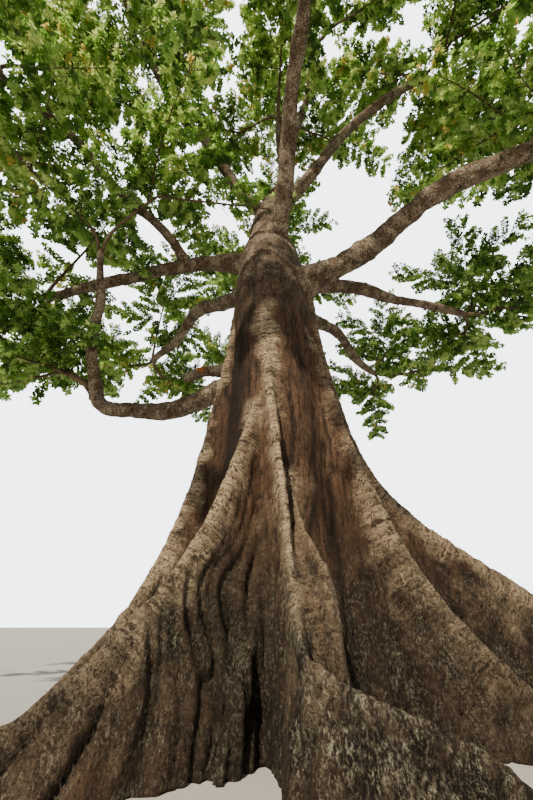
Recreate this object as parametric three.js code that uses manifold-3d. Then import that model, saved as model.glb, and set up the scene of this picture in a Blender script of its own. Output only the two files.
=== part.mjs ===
// A giant plank-buttressed tree, in millimetres, with +Z up and its front toward -Y.
// The trunk is cut flat at ground level, z = 0, and its core stands over the origin.
import * as THREE from "three";
import { mergeVertices } from "three/addons/utils/BufferGeometryUtils.js";
import Module from "manifold-3d";

const wasm = await Module();
wasm.setup();

// Gap between two pieces that meet, the room a leaf or twig keeps from a limb, and the distance
// within which two corners of one piece are one
const CLEARANCE = 0.3;
const LEAF_ROOM = 12;
const SAME_CORNER = 0.01;

// Trunk core: height and radius of each station, from below the ground cut to the fork
const TRUNK_STATIONS = [
  { height: -400, radius: 1700 },
  { height: 2400, radius: 1330 },
  { height: 5200, radius: 1160 },
  { height: 8000, radius: 1120 },
  { height: 10800, radius: 1160 },
  { height: 12400, radius: 1020 },
  { height: 13400, radius: 760 },
];
const TRUNK_TOP = 13400;
const TRUNK_LEAN = -170;
const TRUNK_SIDES = 12;
const TRUNK_STEPS = 8;
const GROUND_SIZE = 40000;

// Plank buttresses, anticlockwise from +X: azimuth in degrees, how far each bends round on its way
// out, its reach from the axis, its height at the core, the height of its long low toe, how steeply
// the crest falls to that toe, and the half width of its foot. A low toe power ends it bluntly
const BUTTRESSES = [
  { azimuth: 3, bend: -5, reach: 7500, height: 11400, toe: 4750, steepness: 13, foot: 560 },
  { azimuth: 44, bend: -9, reach: 5700, height: 8200, toe: 2900, steepness: 4, foot: 500 },
  { azimuth: 88, bend: 10, reach: 5400, height: 9400, toe: 2600, steepness: 3.8, foot: 500 },
  { azimuth: 127, bend: -6, reach: 5800, height: 7600, toe: 2400, steepness: 3.4, foot: 520 },
  { azimuth: 166, bend: 14, reach: 4600, height: 12100, toe: 3500, steepness: 4.8, foot: 520 },
  { azimuth: 243, bend: -23, reach: 5950, height: 5850, toe: 1120, steepness: 2.8, foot: 520 },
  { azimuth: 244, bend: -9, reach: 3400, height: 2800, toe: 1250, steepness: 1.6, foot: 360 },
  { azimuth: 254, bend: -3, reach: 2600, height: 2700, toe: 1700, steepness: 2, foot: 400 },
  { azimuth: 276, bend: 1, reach: 2950, height: 3750, toe: 2600, steepness: 2.7, foot: 720, toePower: 0.2 },
  { azimuth: 281, bend: 0, reach: 3100, height: 3950, toe: 2800, steepness: 2.7, foot: 400, toePower: 0.12 },
  { azimuth: 339, bend: -7, reach: 4800, height: 8500, toe: 2450, steepness: 3.6, foot: 480 },
];
// Each starts this far from the axis, and its end face is drawn further back into the core
const BUTTRESS_START = 1200;
const BUTTRESS_INSET = 500;
const BUTTRESS_STEPS = 7;
const TOE_POWER = 0.9;

// Thin rib down the front of the trunk, whose foot turns away as a low snaking root
const RIB_PATH = [
  [-280, -1000],
  [10, -1700],
  [100, -2350],
  [130, -2950],
  [220, -3400],
  [620, -3520],
  [1180, -3480],
  [1640, -3850],
  [1900, -4700],
  [2500, -5500],
];
const RIB = { height: 9000, toe: 1740, steepness: 7, foot: 330 };
const RIB_STEPS = 12;

// Section of a plank: shares of its height, its crest's share of the foot, how fast it widens
// toward the ground, and how much its last level is drawn in, which rounds the crest
const SECTION_LEVELS = [0, 0.2, 0.6, 0.95];
const CREST_SHARE = 0.28;
const SECTION_POWER = 2.4;
const CREST_ROUNDING = 0.72;

// Along a plank: how much narrower its far end is, how its steps crowd to the core, and the share
// of its path on both sides of a step that gives the step's direction
const PLANK_THINNING = 0.45;
const STEP_CROWDING = 1.5;
const DIRECTION_SPAN = 0.01;

// Limbs: the limb each springs from, where it springs (a height on the trunk, or a share of the
// length of a limb), the azimuth and ground distance of its tip seen from the axis it springs from,
// the height of its tip, its climb in degrees at both ends, the turn of its tip in plan, its radii at
// both ends, and the number of leaf masses that its tip carries
const LIMBS = [
  { name: "leader", from: "trunk", at: TRUNK_TOP, azimuth: 40, run: 900, tip: 18200,
    climb: [86, 66], turn: 20, radii: [740, 360], masses: "none" },
  { name: "bough_left_upper", from: "trunk", at: 11750, azimuth: 168, run: 9000, tip: 12600,
    climb: [44, -6], turn: 0, radii: [330, 170], masses: "fan" },
  { name: "bough_left_lower", from: "trunk", at: 7575, azimuth: 162, run: 6400, tip: 8170,
    climb: [2, 58], turn: 33, radii: [340, 200], masses: "single" },
  { name: "bough_left_rising", from: "bough_left_lower", at: 0.95, azimuth: 273, run: 2700, tip: 12200,
    climb: [44, 62], turn: 2, radii: [190, 110], masses: "pair" },
  { name: "broken_stub", from: "trunk", at: 8250, azimuth: 152, run: 3300, tip: 8400,
    climb: [4, 10], turn: 0, radii: [230, 150], masses: "none" },
  { name: "bough_right_upper", from: "trunk", at: 10300, azimuth: -24, run: 9800, tip: 12900,
    climb: [28, -30], turn: -16, radii: [400, 270], masses: "fan" },
  { name: "bough_right_lower", from: "trunk", at: 11000, azimuth: 19, run: 8800, tip: 12700,
    climb: [22, 4], turn: 4, radii: [260, 150], masses: "spread" },
  { name: "bough_front", from: "trunk", at: 12250, azimuth: 276, run: 7800, tip: 16400,
    climb: [50, 14], turn: -16, radii: [320, 150], masses: "fan" },
  { name: "bough_front_left", from: "bough_left_upper", at: 0.38, azimuth: 226, run: 6900, tip: 15200,
    climb: [44, 10], turn: 0, radii: [170, 120], masses: "fan" },
  { name: "bough_back_left", from: "trunk", at: 11100, azimuth: 132, run: 9200, tip: 13300,
    climb: [30, 6], turn: -10, radii: [330, 150], masses: "fan" },
  { name: "bough_back", from: "trunk", at: 12300, azimuth: 92, run: 9000, tip: 15400,
    climb: [38, 8], turn: 12, radii: [340, 150], masses: "fan" },
  { name: "bough_back_right", from: "trunk", at: 11300, azimuth: 52, run: 9400, tip: 12900,
    climb: [28, 2], turn: -8, radii: [330, 150], masses: "spread" },
  { name: "bough_high_left", from: "leader", at: 0.37, azimuth: 210, run: 6400, tip: 22400,
    climb: [14, 44], turn: 5, radii: [220, 130], masses: "fan" },
  { name: "bough_high_right", from: "leader", at: 0.3, azimuth: 335, run: 6600, tip: 20100,
    climb: [42, 20], turn: 10, radii: [250, 140], masses: "fan" },
  { name: "bough_high_back", from: "leader", at: 0.55, azimuth: 88, run: 6000, tip: 20900,
    climb: [44, 30], turn: 14, radii: [230, 140], masses: "fan" },
  { name: "bough_high_front", from: "leader", at: 0.72, azimuth: 292, run: 3900, tip: 21300,
    climb: [40, 36], turn: -10, radii: [200, 120], masses: "pair" },
  { name: "bough_top", from: "leader", at: 1, azimuth: 262, run: 1300, tip: 22400,
    climb: [66, 76], turn: 0, radii: [355, 170], masses: "crown" },
];
const LIMB_SIDES = 8;
const LIMB_STEPS = 6;
const LIMB_FLARE = 0.35;
const FLARE_FADE = 14;

// Slow waves that make a limb crooked: their size as a share of its length, and their speeds
const CROOK = 0.02;
const CROOK_WAVES = [7, 9, 11];

// Leaf masses: how they fan from a bough's tip in plan and in climb, in degrees, how far their
// centres lie from it, and the half sizes of the space of each, which is an upright ellipsoid
const MASS_FANS = {
  none: [],
  single: [{ turn: 0, climb: 14 }],
  pair: [{ turn: -52, climb: 14 }, { turn: 58, climb: 34 }],
  fan: [{ turn: -46, climb: 0 }, { turn: 46, climb: 6 }, { turn: 168, climb: 62 }],
  spread: [{ turn: -46, climb: 0 }, { turn: 46, climb: 6 }, { turn: 4, climb: 56 }],
  crown: [
    { turn: -110, climb: 16 },
    { turn: 10, climb: 12 },
    { turn: 130, climb: 20 },
    { turn: 0, climb: 82 },
  ],
};
const MASS_DISTANCE = 3600;
const MASS_RADIUS = 4300;
const MASS_HALF_HEIGHT = 3100;
const SPACE_GAP = 20;

// Stem of a mass: its radii, how far the stems of one bough start from the middle of its tip, how
// far aside a mass has to lie for that, and where the curve bends, as shares of the mass's sizes
const STEM_RADII = [46, 30];
const STEM_SPREAD = 92;
const STEM_ASIDE = 0.4;
const STEM_BENDS = { leave: 0.25, arrive: 0.333, rise: 0.25 };
const STEM_STEPS = 3;

// Twigs of a mass: where the first and last leave the stem, how they climb, and the random part
const TWIGS_PER_MASS = 5;
const TWIG_RADII = [32, 20];
const TWIG_SPAN = [0.3, 0.97];
const TWIG_CLIMBS = [-12, 36];
const CLIMB_RANGE = 20;
const GOLDEN_ANGLE = 137.5;

// Leaves, each of which stands for a spray: their sizes, how far the root is sunk, where they stand
// along a twig, how they splay, and the random parts of swing, climb and roll
const LEAF = { length: 2200, width: 1500, thickness: 44, widest: 0.38, root: 16 };
const LEAF_PLACES = [1, 0.58];
const LEAF_SPLAY = 42;
const LEAF_ROOM_SHARE = 0.94;
const SWING_RANGE = 30;
const TILT_RANGE = 16;
const ROLL_RANGE = 0.9;
const TOP_LEAF = { turn: -60, climb: 62 };
const TRIES = 5;

// Finishes: sunlit grey-brown bark and fresh green leaves
const BARK = { color: 0x8d7a66, roughness: 0.92, metalness: 0 };
const LEAVES = { color: 0x5d8a2c, roughness: 0.62, metalness: 0 };

const UP = new THREE.Vector3(0, 0, 1);
const radians = THREE.MathUtils.degToRad;

// A direction from its azimuth and its climb above the level, in degrees
function heading(azimuth, climb) {
  const level = Math.cos(radians(climb));
  return new THREE.Vector3(
    level * Math.cos(radians(azimuth)),
    level * Math.sin(radians(azimuth)),
    Math.sin(radians(climb)),
  );
}

// A stream of even random numbers from 0 to 1, the same for the same seed
function randomStream(seed) {
  const modulus = 2147483647;
  let state = (seed * 48271 + 11) % modulus;
  return () => {
    state = (state * 16807) % modulus;
    return state / modulus;
  };
}

// A closed geometry as a solid that can be joined and cut
function toSolid(geometry) {
  const bare = geometry.clone();
  bare.deleteAttribute("normal");
  bare.deleteAttribute("uv");
  const merged = mergeVertices(bare, SAME_CORNER);
  const mesh = new wasm.Mesh({
    numProp: 3,
    vertProperties: Float32Array.from(merged.attributes.position.array),
    triVerts: Uint32Array.from(merged.index.array),
  });
  return new wasm.Manifold(mesh);
}

// The largest body of a solid, without loose scraps
function largestBody(solid) {
  const bodies = solid.decompose();
  return bodies.reduce((best, body) => (body.volume() > best.volume() ? body : best));
}

// A solid as a named mesh with a finish
function namedMesh(name, solid, finish) {
  const { vertProperties, triVerts } = solid.getMesh();
  const geometry = new THREE.BufferGeometry();
  geometry.setAttribute("position", new THREE.BufferAttribute(vertProperties, 3));
  geometry.setIndex(new THREE.BufferAttribute(triVerts, 1));
  geometry.computeVertexNormals();
  const mesh = new THREE.Mesh(geometry, new THREE.MeshStandardMaterial(finish));
  mesh.name = name;
  return mesh;
}

// A closed limb along a curve, with its own radius at each share of the length
function limbGeometry(curve, radiusAt, sides, steps) {
  const corners = Array.from({ length: sides }, (_, corner) => {
    const angle = (2 * Math.PI * corner) / sides;
    return new THREE.Vector2(Math.cos(angle), Math.sin(angle));
  });
  const outline = new THREE.Shape(corners);
  const geometry = new THREE.ExtrudeGeometry(outline, { depth: 1, steps, bevelEnabled: false });
  const frames = curve.computeFrenetFrames(steps, false);
  const position = geometry.attributes.position;
  const point = new THREE.Vector3();
  for (let i = 0; i < position.count; i += 1) {
    const step = Math.round(position.getZ(i) * steps);
    curve.getPointAt(step / steps, point);
    const radius = radiusAt(step / steps);
    point.addScaledVector(frames.normals[step], radius * position.getX(i));
    point.addScaledVector(frames.binormals[step], radius * position.getY(i));
    position.setXYZ(i, point.x, point.y, point.z);
  }
  return geometry;
}

// Centre of the trunk at a height
function trunkCentre(height) {
  return new THREE.Vector3(TRUNK_LEAN * (height / TRUNK_TOP) ** 2, 0, height);
}

// Radius of the trunk core at a height
function trunkRadius(height) {
  const above = TRUNK_STATIONS.findIndex((station) => station.height >= height);
  const upper = TRUNK_STATIONS[Math.max(above, 1)];
  const lower = TRUNK_STATIONS[Math.max(above, 1) - 1];
  const share = (height - lower.height) / (upper.height - lower.height);
  return THREE.MathUtils.lerp(lower.radius, upper.radius, share);
}

// The line of the trunk's core
function trunkLine() {
  return new THREE.CatmullRomCurve3(TRUNK_STATIONS.map(({ height }) => trunkCentre(height)));
}

// The trunk core, from below the ground cut to the fork
function trunkCore(grow) {
  const foot = TRUNK_STATIONS[0].height;
  const radiusAt = (share) => trunkRadius(THREE.MathUtils.lerp(foot, TRUNK_TOP, share)) + grow;
  return toSolid(limbGeometry(trunkLine(), radiusAt, TRUNK_SIDES, TRUNK_STEPS));
}

// Height of a crest at the share of the plank's length that is still to go
function crestHeight({ height, toe, steepness, toePower = TOE_POWER }, left) {
  return (height - toe) * left ** steepness + toe * left ** toePower;
}

// Outline of a plank's section: unit height, unit half width at the foot, and a rounded crest
function plankSection() {
  const last = SECTION_LEVELS.length - 1;
  const side = SECTION_LEVELS.map((level, index) => {
    const halfWidth = CREST_SHARE + (1 - CREST_SHARE) * (1 - level) ** SECTION_POWER;
    return new THREE.Vector2(index === last ? halfWidth * CREST_ROUNDING : halfWidth, level);
  });
  const mirrored = side.map((point) => new THREE.Vector2(-point.x, point.y)).reverse();
  return new THREE.Shape([...side, new THREE.Vector2(0, 1), ...mirrored]);
}

// A plank along a path over the ground, from below the ground cut up to its crest
function plank(pathAt, sizes, steps, grow) {
  const geometry = new THREE.ExtrudeGeometry(plankSection(), { depth: 1, steps, bevelEnabled: false });
  const position = geometry.attributes.position;
  const sink = TRUNK_STATIONS[0].height;
  for (let i = 0; i < position.count; i += 1) {
    const along = position.getZ(i) ** STEP_CROWDING;
    const place = pathAt(along);
    const ahead = pathAt(Math.min(along + DIRECTION_SPAN, 1));
    ahead.sub(pathAt(Math.max(along - DIRECTION_SPAN, 0))).normalize();
    const halfWidth = sizes.foot * (1 - PLANK_THINNING * along);
    const crest = crestHeight(sizes, 1 - along) + grow;
    const aside = position.getX(i) * halfWidth + Math.sign(position.getX(i)) * grow;
    const height = THREE.MathUtils.lerp(sink, crest, position.getY(i));
    position.setXYZ(i, place.x - ahead.y * aside, place.y + ahead.x * aside, height);
  }
  return toSolid(geometry);
}

// A buttress, which leaves the axis at its azimuth and bends round on its way out
function buttress(sizes, grow) {
  const pathAt = (along) => {
    const inset = along > 0 ? -grow : BUTTRESS_INSET;
    const distance = THREE.MathUtils.lerp(BUTTRESS_START, sizes.reach, along) - inset;
    const angle = radians(sizes.azimuth + sizes.bend * along);
    return new THREE.Vector2(distance * Math.cos(angle), distance * Math.sin(angle));
  };
  return plank(pathAt, sizes, BUTTRESS_STEPS, grow);
}

// The rib down the front of the trunk and the root that it becomes
function frontRib(grow) {
  const curve = new THREE.SplineCurve(RIB_PATH.map(([x, y]) => new THREE.Vector2(x, y)));
  return plank((along) => curve.getPointAt(along), RIB, RIB_STEPS, grow);
}

// The block of ground that cuts the trunk off at z = 0
function groundBlock() {
  const box = new THREE.BoxGeometry(GROUND_SIZE, GROUND_SIZE, GROUND_SIZE);
  return toSolid(box.translate(0, 0, -GROUND_SIZE / 2));
}

// The whole trunk: core, buttresses and front rib, cut flat at the ground
function trunk(grow) {
  const planks = BUTTRESSES.map((sizes) => buttress(sizes, grow));
  const whole = planks.reduce((joined, piece) => joined.add(piece), trunkCore(grow));
  return whole.add(frontRib(grow)).subtract(groundBlock());
}

// A point on a limb's curve, moved sideways and up in slow waves so that it isn't a plain arc
class CrookedCurve extends THREE.Curve {
  constructor(smooth, size, phase) {
    super();
    this.smooth = smooth;
    this.size = size;
    this.phase = phase;
  }

  getPoint(share, target = new THREE.Vector3()) {
    this.smooth.getPoint(share, target);
    const wave = this.size * Math.sin(Math.PI * share);
    const [slow, middle, fast] = CROOK_WAVES;
    target.x += wave * Math.sin(slow * share + this.phase);
    target.y += wave * Math.cos(middle * share + 2 * this.phase);
    target.z += wave * Math.sin(fast * share + 3 * this.phase);
    return target;
  }
}

// A limb with its curve, its radius at each share of the length, and the direction of its tip
function placeLimb(limb, carrier, index) {
  const onTrunk = limb.from === "trunk";
  const endsCarrier = limb.at === (onTrunk ? TRUNK_TOP : 1);
  const start = onTrunk ? trunkCentre(limb.at) : carrier.curve.getPointAt(limb.at);
  const end = start.clone().add(heading(limb.azimuth, 0).multiplyScalar(limb.run)).setZ(limb.tip);
  const third = start.distanceTo(end) / 3;
  let leave = heading(limb.azimuth - limb.turn / 2, limb.climb[0]);
  if (endsCarrier) {
    leave = carrier.curve.getTangentAt(1);
    start.addScaledVector(leave, CLEARANCE);
  }
  const arrive = heading(limb.azimuth + limb.turn, limb.climb[1]);
  const smooth = new THREE.CubicBezierCurve3(
    start,
    start.clone().addScaledVector(leave, third),
    end.clone().addScaledVector(arrive, -third),
    end,
  );
  const curve = endsCarrier ? smooth : new CrookedCurve(smooth, CROOK * 3 * third, index);
  const flare = endsCarrier ? 0 : LIMB_FLARE;
  const radiusAt = (share) => {
    const taper = THREE.MathUtils.lerp(limb.radii[0], limb.radii[1], share);
    return taper * (1 + flare * Math.exp(-FLARE_FADE * share));
  };
  return { ...limb, curve, radiusAt, endsCarrier, direction: curve.getTangentAt(1) };
}

// A limb as a solid, with its radius grown by some room
function limbSolid({ curve, radiusAt }, grow) {
  return toSolid(limbGeometry(curve, (share) => radiusAt(share) + grow, LIMB_SIDES, LIMB_STEPS));
}

// All limbs, each cut clear of the one that it springs from
function makeLimbs() {
  const carriers = new Map([["trunk", { curve: trunkLine(), clear: trunk(CLEARANCE) }]]);
  return LIMBS.map((sizes, index) => {
    const carrier = carriers.get(sizes.from);
    const limb = placeLimb(sizes, carrier, index);
    const whole = limbSolid(limb, 0);
    limb.solid = limb.endsCarrier ? whole : largestBody(whole.subtract(carrier.clear));
    limb.clear = limbSolid(limb, CLEARANCE);
    carriers.set(limb.name, limb);
    return limb;
  });
}

// The space and the stem of each leaf mass that a limb's tip carries
function placeMasses(limb) {
  const tip = limb.curve.getPointAt(1);
  const azimuth = THREE.MathUtils.radToDeg(Math.atan2(limb.direction.y, limb.direction.x));
  const fan = MASS_FANS[limb.masses];
  const side = new THREE.Vector3().crossVectors(limb.direction, UP).normalize();
  const over = new THREE.Vector3().crossVectors(side, limb.direction);
  return fan.map(({ turn, climb }, index) => {
    const toward = heading(azimuth + turn, climb);
    const centre = tip.clone().addScaledVector(toward, MASS_DISTANCE);
    const spread = fan.length > 1 ? STEM_SPREAD : 0;
    const flat = new THREE.Vector2(toward.dot(side), toward.dot(over));
    flat.setLength(flat.length() > STEM_ASIDE ? 1 : 0);
    const start = tip.clone().addScaledVector(limb.direction, CLEARANCE);
    start.addScaledVector(side, spread * flat.x).addScaledVector(over, spread * flat.y);
    const stem = new THREE.CubicBezierCurve3(
      start,
      start.clone().addScaledVector(limb.direction, MASS_DISTANCE * STEM_BENDS.leave),
      centre.clone().addScaledVector(toward, -MASS_DISTANCE * STEM_BENDS.arrive),
      centre.clone().addScaledVector(UP, MASS_HALF_HEIGHT * STEM_BENDS.rise),
    );
    const name = `leaves_${limb.name.replace("bough_", "")}_${index + 1}`;
    return { name, centre, stem };
  });
}

// Whether a point is in the space of a mass: its ellipsoid, on its own side of all other masses
function isInSpace(point, mass, masses) {
  const offset = point.clone().sub(mass.centre);
  const level = Math.hypot(offset.x, offset.y) / MASS_RADIUS;
  if (Math.hypot(level, offset.z / MASS_HALF_HEIGHT) > 1) {
    return false;
  }
  return masses.every((other) => {
    const across = other.centre.clone().sub(mass.centre);
    const distance = across.length();
    return distance === 0 || distance / 2 - offset.dot(across) / distance > SPACE_GAP;
  });
}

// How far the edge of a mass's ellipsoid lies from a point inside it, in a direction
function reachFrom(point, toward, mass) {
  const shape = new THREE.Vector3(MASS_RADIUS, MASS_RADIUS, MASS_HALF_HEIGHT);
  const from = point.clone().sub(mass.centre).divide(shape);
  const step = toward.clone().divide(shape);
  const a = step.lengthSq();
  const b = from.dot(step);
  return (Math.sqrt(b * b - a * (from.lengthSq() - 1)) - b) / a;
}

// Whether a solid touches any of the obstacles
function touches(solid, obstacles) {
  const box = solid.boundingBox();
  return obstacles.some((obstacle) => {
    const apart = [0, 1, 2].some((axis) =>
      box.max[axis] < obstacle.box.min[axis] || box.min[axis] > obstacle.box.max[axis]);
    return !apart && !solid.intersect(obstacle.solid).isEmpty();
  });
}

// A thin three-sided taper along a curve
function rod(curve, radii, steps, grow = 0) {
  const radiusAt = (share) => THREE.MathUtils.lerp(radii[0], radii[1], share) + grow;
  return toSolid(limbGeometry(curve, radiusAt, 3, steps));
}

// A leaf of eight faces, from its root toward its tip, rolled about its length
function leafGeometry(root, toward, roll) {
  const across = new THREE.Vector3().crossVectors(UP, toward).normalize();
  across.applyAxisAngle(toward, roll);
  const face = new THREE.Vector3().crossVectors(toward, across);
  const place = new THREE.Matrix4().makeBasis(toward, across, face);
  place.setPosition(root.clone().addScaledVector(toward, LEAF.length / 2 - LEAF.root));
  const leaf = new THREE.OctahedronGeometry(1, 0);
  leaf.scale(LEAF.length / 2, LEAF.width / 2, LEAF.thickness / 2);
  const position = leaf.attributes.position;
  for (let i = 0; i < position.count; i += 1) {
    if (Math.abs(position.getX(i)) < LEAF.length / 4) {
      position.setX(i, LEAF.length * (LEAF.widest - 0.5));
    }
  }
  return leaf.applyMatrix4(place);
}

// A piece's corners are all in the mass's space, and it touches nothing
function fits(geometry, solid, mass, masses, obstacles) {
  const position = geometry.attributes.position;
  const corner = new THREE.Vector3();
  for (let i = 0; i < position.count; i += 1) {
    if (!isInSpace(corner.fromBufferAttribute(position, i), mass, masses)) {
      return false;
    }
  }
  return !touches(solid, obstacles);
}

// The first leaf that fits at a root, tried with several turns and rolls; it becomes an obstacle too
function growLeaf(root, azimuth, climb, random, mass, masses, obstacles) {
  for (let attempt = 0; attempt < TRIES; attempt += 1) {
    const swing = (random() - 0.5) * SWING_RANGE * (attempt + 0.5);
    const tilt = (random() - 0.5) * TILT_RANGE;
    const roll = (random() - 0.5) * ROLL_RANGE;
    const geometry = leafGeometry(root, heading(azimuth + swing, climb + tilt), roll);
    const solid = toSolid(geometry);
    if (fits(geometry, solid, mass, masses, obstacles)) {
      obstacles.push({ owner: mass.name, solid, box: solid.boundingBox() });
      return [solid];
    }
  }
  return [];
}

// A twig from the stem with its leaves, or nothing where it would leave the space or touch a limb
function growTwig(index, azimuth, random, mass, masses, obstacles) {
  const share = index / (TWIGS_PER_MASS - 1);
  const start = mass.stem.getPointAt(THREE.MathUtils.lerp(...TWIG_SPAN, share));
  if (!isInSpace(start, mass, masses)) {
    return [];
  }
  const climb = THREE.MathUtils.lerp(...TWIG_CLIMBS, share) + (random() - 0.5) * CLIMB_RANGE;
  const toward = heading(azimuth, climb);
  const length = reachFrom(start, toward, mass) - LEAF.length * LEAF_ROOM_SHARE;
  if (length < 3 * TWIG_RADII[0]) {
    return growLeaf(start, azimuth, climb, random, mass, masses, obstacles);
  }
  const line = new THREE.LineCurve3(start, start.clone().addScaledVector(toward, length));
  const twig = rod(line, TWIG_RADII, 1);
  if (touches(twig, obstacles)) {
    return [];
  }
  const splay = LEAF_SPLAY * (index % 2 === 0 ? 1 : -1);
  const leaves = LEAF_PLACES.flatMap((place, leaf) =>
    growLeaf(line.getPointAt(place), azimuth + splay * leaf, climb, random, mass, masses, obstacles));
  return [twig, ...leaves];
}

// A mass of leaves: one stem, twigs that branch from it by the golden angle, and their leaves
function makeMass(mass, index, masses, obstacles) {
  const random = randomStream(index + 1);
  const others = obstacles.filter(({ owner }) => owner !== mass.name);
  const turn = 360 * random();
  const pieces = [rod(mass.stem, STEM_RADII, STEM_STEPS)];
  for (let twig = 0; twig < TWIGS_PER_MASS; twig += 1) {
    pieces.push(...growTwig(twig, turn + GOLDEN_ANGLE * twig, random, mass, masses, others));
  }
  const top = mass.stem.getPointAt(1);
  const { climb } = TOP_LEAF;
  pieces.push(...growLeaf(top, turn + TOP_LEAF.turn, climb, random, mass, masses, others));
  return largestBody(pieces.reduce((joined, piece) => joined.add(piece)));
}

// The whole tree
function makeTree() {
  const tree = new THREE.Group();
  const wood = trunk(0);
  const limbs = makeLimbs();
  const masses = limbs.flatMap(placeMasses);
  const solids = [
    { owner: "trunk", solid: wood },
    ...limbs.map((limb) => ({ owner: limb.name, solid: limbSolid(limb, LEAF_ROOM) })),
    ...masses.map(({ name, stem }) => ({
      owner: name,
      solid: rod(stem, STEM_RADII, STEM_STEPS, LEAF_ROOM),
    })),
  ];
  const obstacles = solids.map((obstacle) => ({ ...obstacle, box: obstacle.solid.boundingBox() }));
  tree.add(namedMesh("trunk", wood, BARK));
  limbs.forEach(({ name, solid }) => tree.add(namedMesh(name, solid, BARK)));
  masses.forEach((mass, index) => {
    tree.add(namedMesh(mass.name, makeMass(mass, index, masses, obstacles), LEAVES));
  });
  return tree;
}

export default makeTree();
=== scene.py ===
"""A giant plank-buttressed tree, seen from under its crown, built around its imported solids.

The trunk's planks are joined into one skin with the bark's relief, the boughs are drawn over
their own curves, and each mass of foliage grows from its stem to branches, twigs, sprays and
leaves inside the space of its solid. Lengths are in metres, +Z is up, and the front faces -Y.
"""

import math
from collections import namedtuple

import bmesh
import bpy
import numpy as np
from bpy.props import FloatProperty, FloatVectorProperty, IntProperty, PointerProperty
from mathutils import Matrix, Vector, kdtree


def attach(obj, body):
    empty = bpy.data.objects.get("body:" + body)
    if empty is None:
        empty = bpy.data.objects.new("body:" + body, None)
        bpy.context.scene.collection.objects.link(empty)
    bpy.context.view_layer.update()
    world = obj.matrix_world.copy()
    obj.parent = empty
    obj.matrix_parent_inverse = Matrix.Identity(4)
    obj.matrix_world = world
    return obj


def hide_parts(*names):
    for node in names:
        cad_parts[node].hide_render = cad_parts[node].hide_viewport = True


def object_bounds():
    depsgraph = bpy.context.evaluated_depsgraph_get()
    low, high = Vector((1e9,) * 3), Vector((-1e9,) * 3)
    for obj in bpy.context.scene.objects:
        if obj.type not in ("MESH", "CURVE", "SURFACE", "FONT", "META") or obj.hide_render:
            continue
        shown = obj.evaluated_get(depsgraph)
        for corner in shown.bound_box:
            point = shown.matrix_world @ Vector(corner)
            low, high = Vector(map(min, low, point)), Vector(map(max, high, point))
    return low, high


bl_info = {
    "name": "Buttressed Tree",
    "version": (1, 0, 0),
    "blender": (4, 5, 0),
    "location": "View3D > Sidebar > Tree",
    "description": "Builds a plank-buttressed tree with bark relief, crooked boughs and a leafy crown",
    "category": "Add Mesh",
}

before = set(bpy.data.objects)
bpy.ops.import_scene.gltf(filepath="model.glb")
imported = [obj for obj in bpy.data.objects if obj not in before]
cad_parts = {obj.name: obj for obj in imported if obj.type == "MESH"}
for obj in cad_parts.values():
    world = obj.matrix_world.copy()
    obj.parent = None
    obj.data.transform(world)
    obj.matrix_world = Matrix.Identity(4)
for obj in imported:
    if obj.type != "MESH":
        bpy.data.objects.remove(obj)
CAD_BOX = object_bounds()

UP = np.array([0.0, 0.0, 1.0])

# Trunk core: heights and radii from below the ground to the fork, and how far its top leans
TRUNK_HEIGHTS = (-0.4, 2.4, 5.2, 8.0, 10.8, 12.4, 13.4)
TRUNK_RADII = (1.7, 1.33, 1.16, 1.12, 1.16, 1.02, 0.76)
TRUNK_TOP = 13.4
TRUNK_LEAN = -0.17

# Plank buttresses: azimuth and bend in degrees, reach, height at the core, height of the long low
# toe, how steeply the crest falls to it, half width of the foot, how worn and pale the crest is, and
# the power by which the toe runs out, which keeps it high for longer where it is small
Buttress = namedtuple(
    "Buttress", "azimuth bend reach height toe steepness foot worn toe_power", defaults=[0.9]
)
BUTTRESSES = (
    Buttress(3, -5, 7.5, 11.4, 4.75, 13, 0.56, 0.8),
    Buttress(44, -9, 5.7, 8.2, 2.9, 4, 0.5, 0.8),
    Buttress(88, 10, 5.4, 9.4, 2.6, 3.8, 0.5, 0.8),
    Buttress(127, -6, 5.8, 7.6, 2.4, 3.4, 0.52, 0.8),
    Buttress(166, 14, 4.6, 12.1, 3.5, 4.8, 0.52, 1),
    Buttress(243, -23, 5.95, 5.85, 1.12, 2.8, 0.52, 0.9),
    Buttress(244, -9, 3.4, 2.8, 1.25, 1.6, 0.36, 0.2),
    Buttress(254, -3, 2.6, 2.7, 1.7, 2, 0.4, 0.1),
    Buttress(276, 1, 2.95, 3.75, 2.6, 2.7, 0.72, 0.4, 0.2),
    Buttress(281, 0, 3.1, 3.95, 2.8, 2.7, 0.4, 0.5, 0.12),
    Buttress(339, -7, 4.8, 8.5, 2.45, 3.6, 0.48, 0.7),
)
BUTTRESS_START = 1.2
BUTTRESS_INSET = 0.5

# Rib down the front of the trunk, whose foot turns away as a low snaking root
RIB_PATH = (
    (-0.28, -1.0),
    (0.01, -1.7),
    (0.1, -2.35),
    (0.13, -2.95),
    (0.22, -3.4),
    (0.62, -3.52),
    (1.18, -3.48),
    (1.64, -3.85),
    (1.9, -4.7),
    (2.5, -5.5),
)
RIB = Buttress(0, 0, 0, 9.0, 1.74, 7, 0.33, 1)

# Distance that is added along the crests from one to the next, so that no two have the same wrinkles,
# and how much wider their pale bands get toward the ground, between which heights
CREST_OFFSET = 40
CREST_WIDENING = 1.5
CREST_WIDENS = (4.6, 1.4)

# Numbers that the corners of the trunk's skin carry for its bark and for the shade painted on it
BARK_TRAITS = ("from_crest", "along", "worn", "folds", "hollowness", "damp", "flaky")

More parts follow.
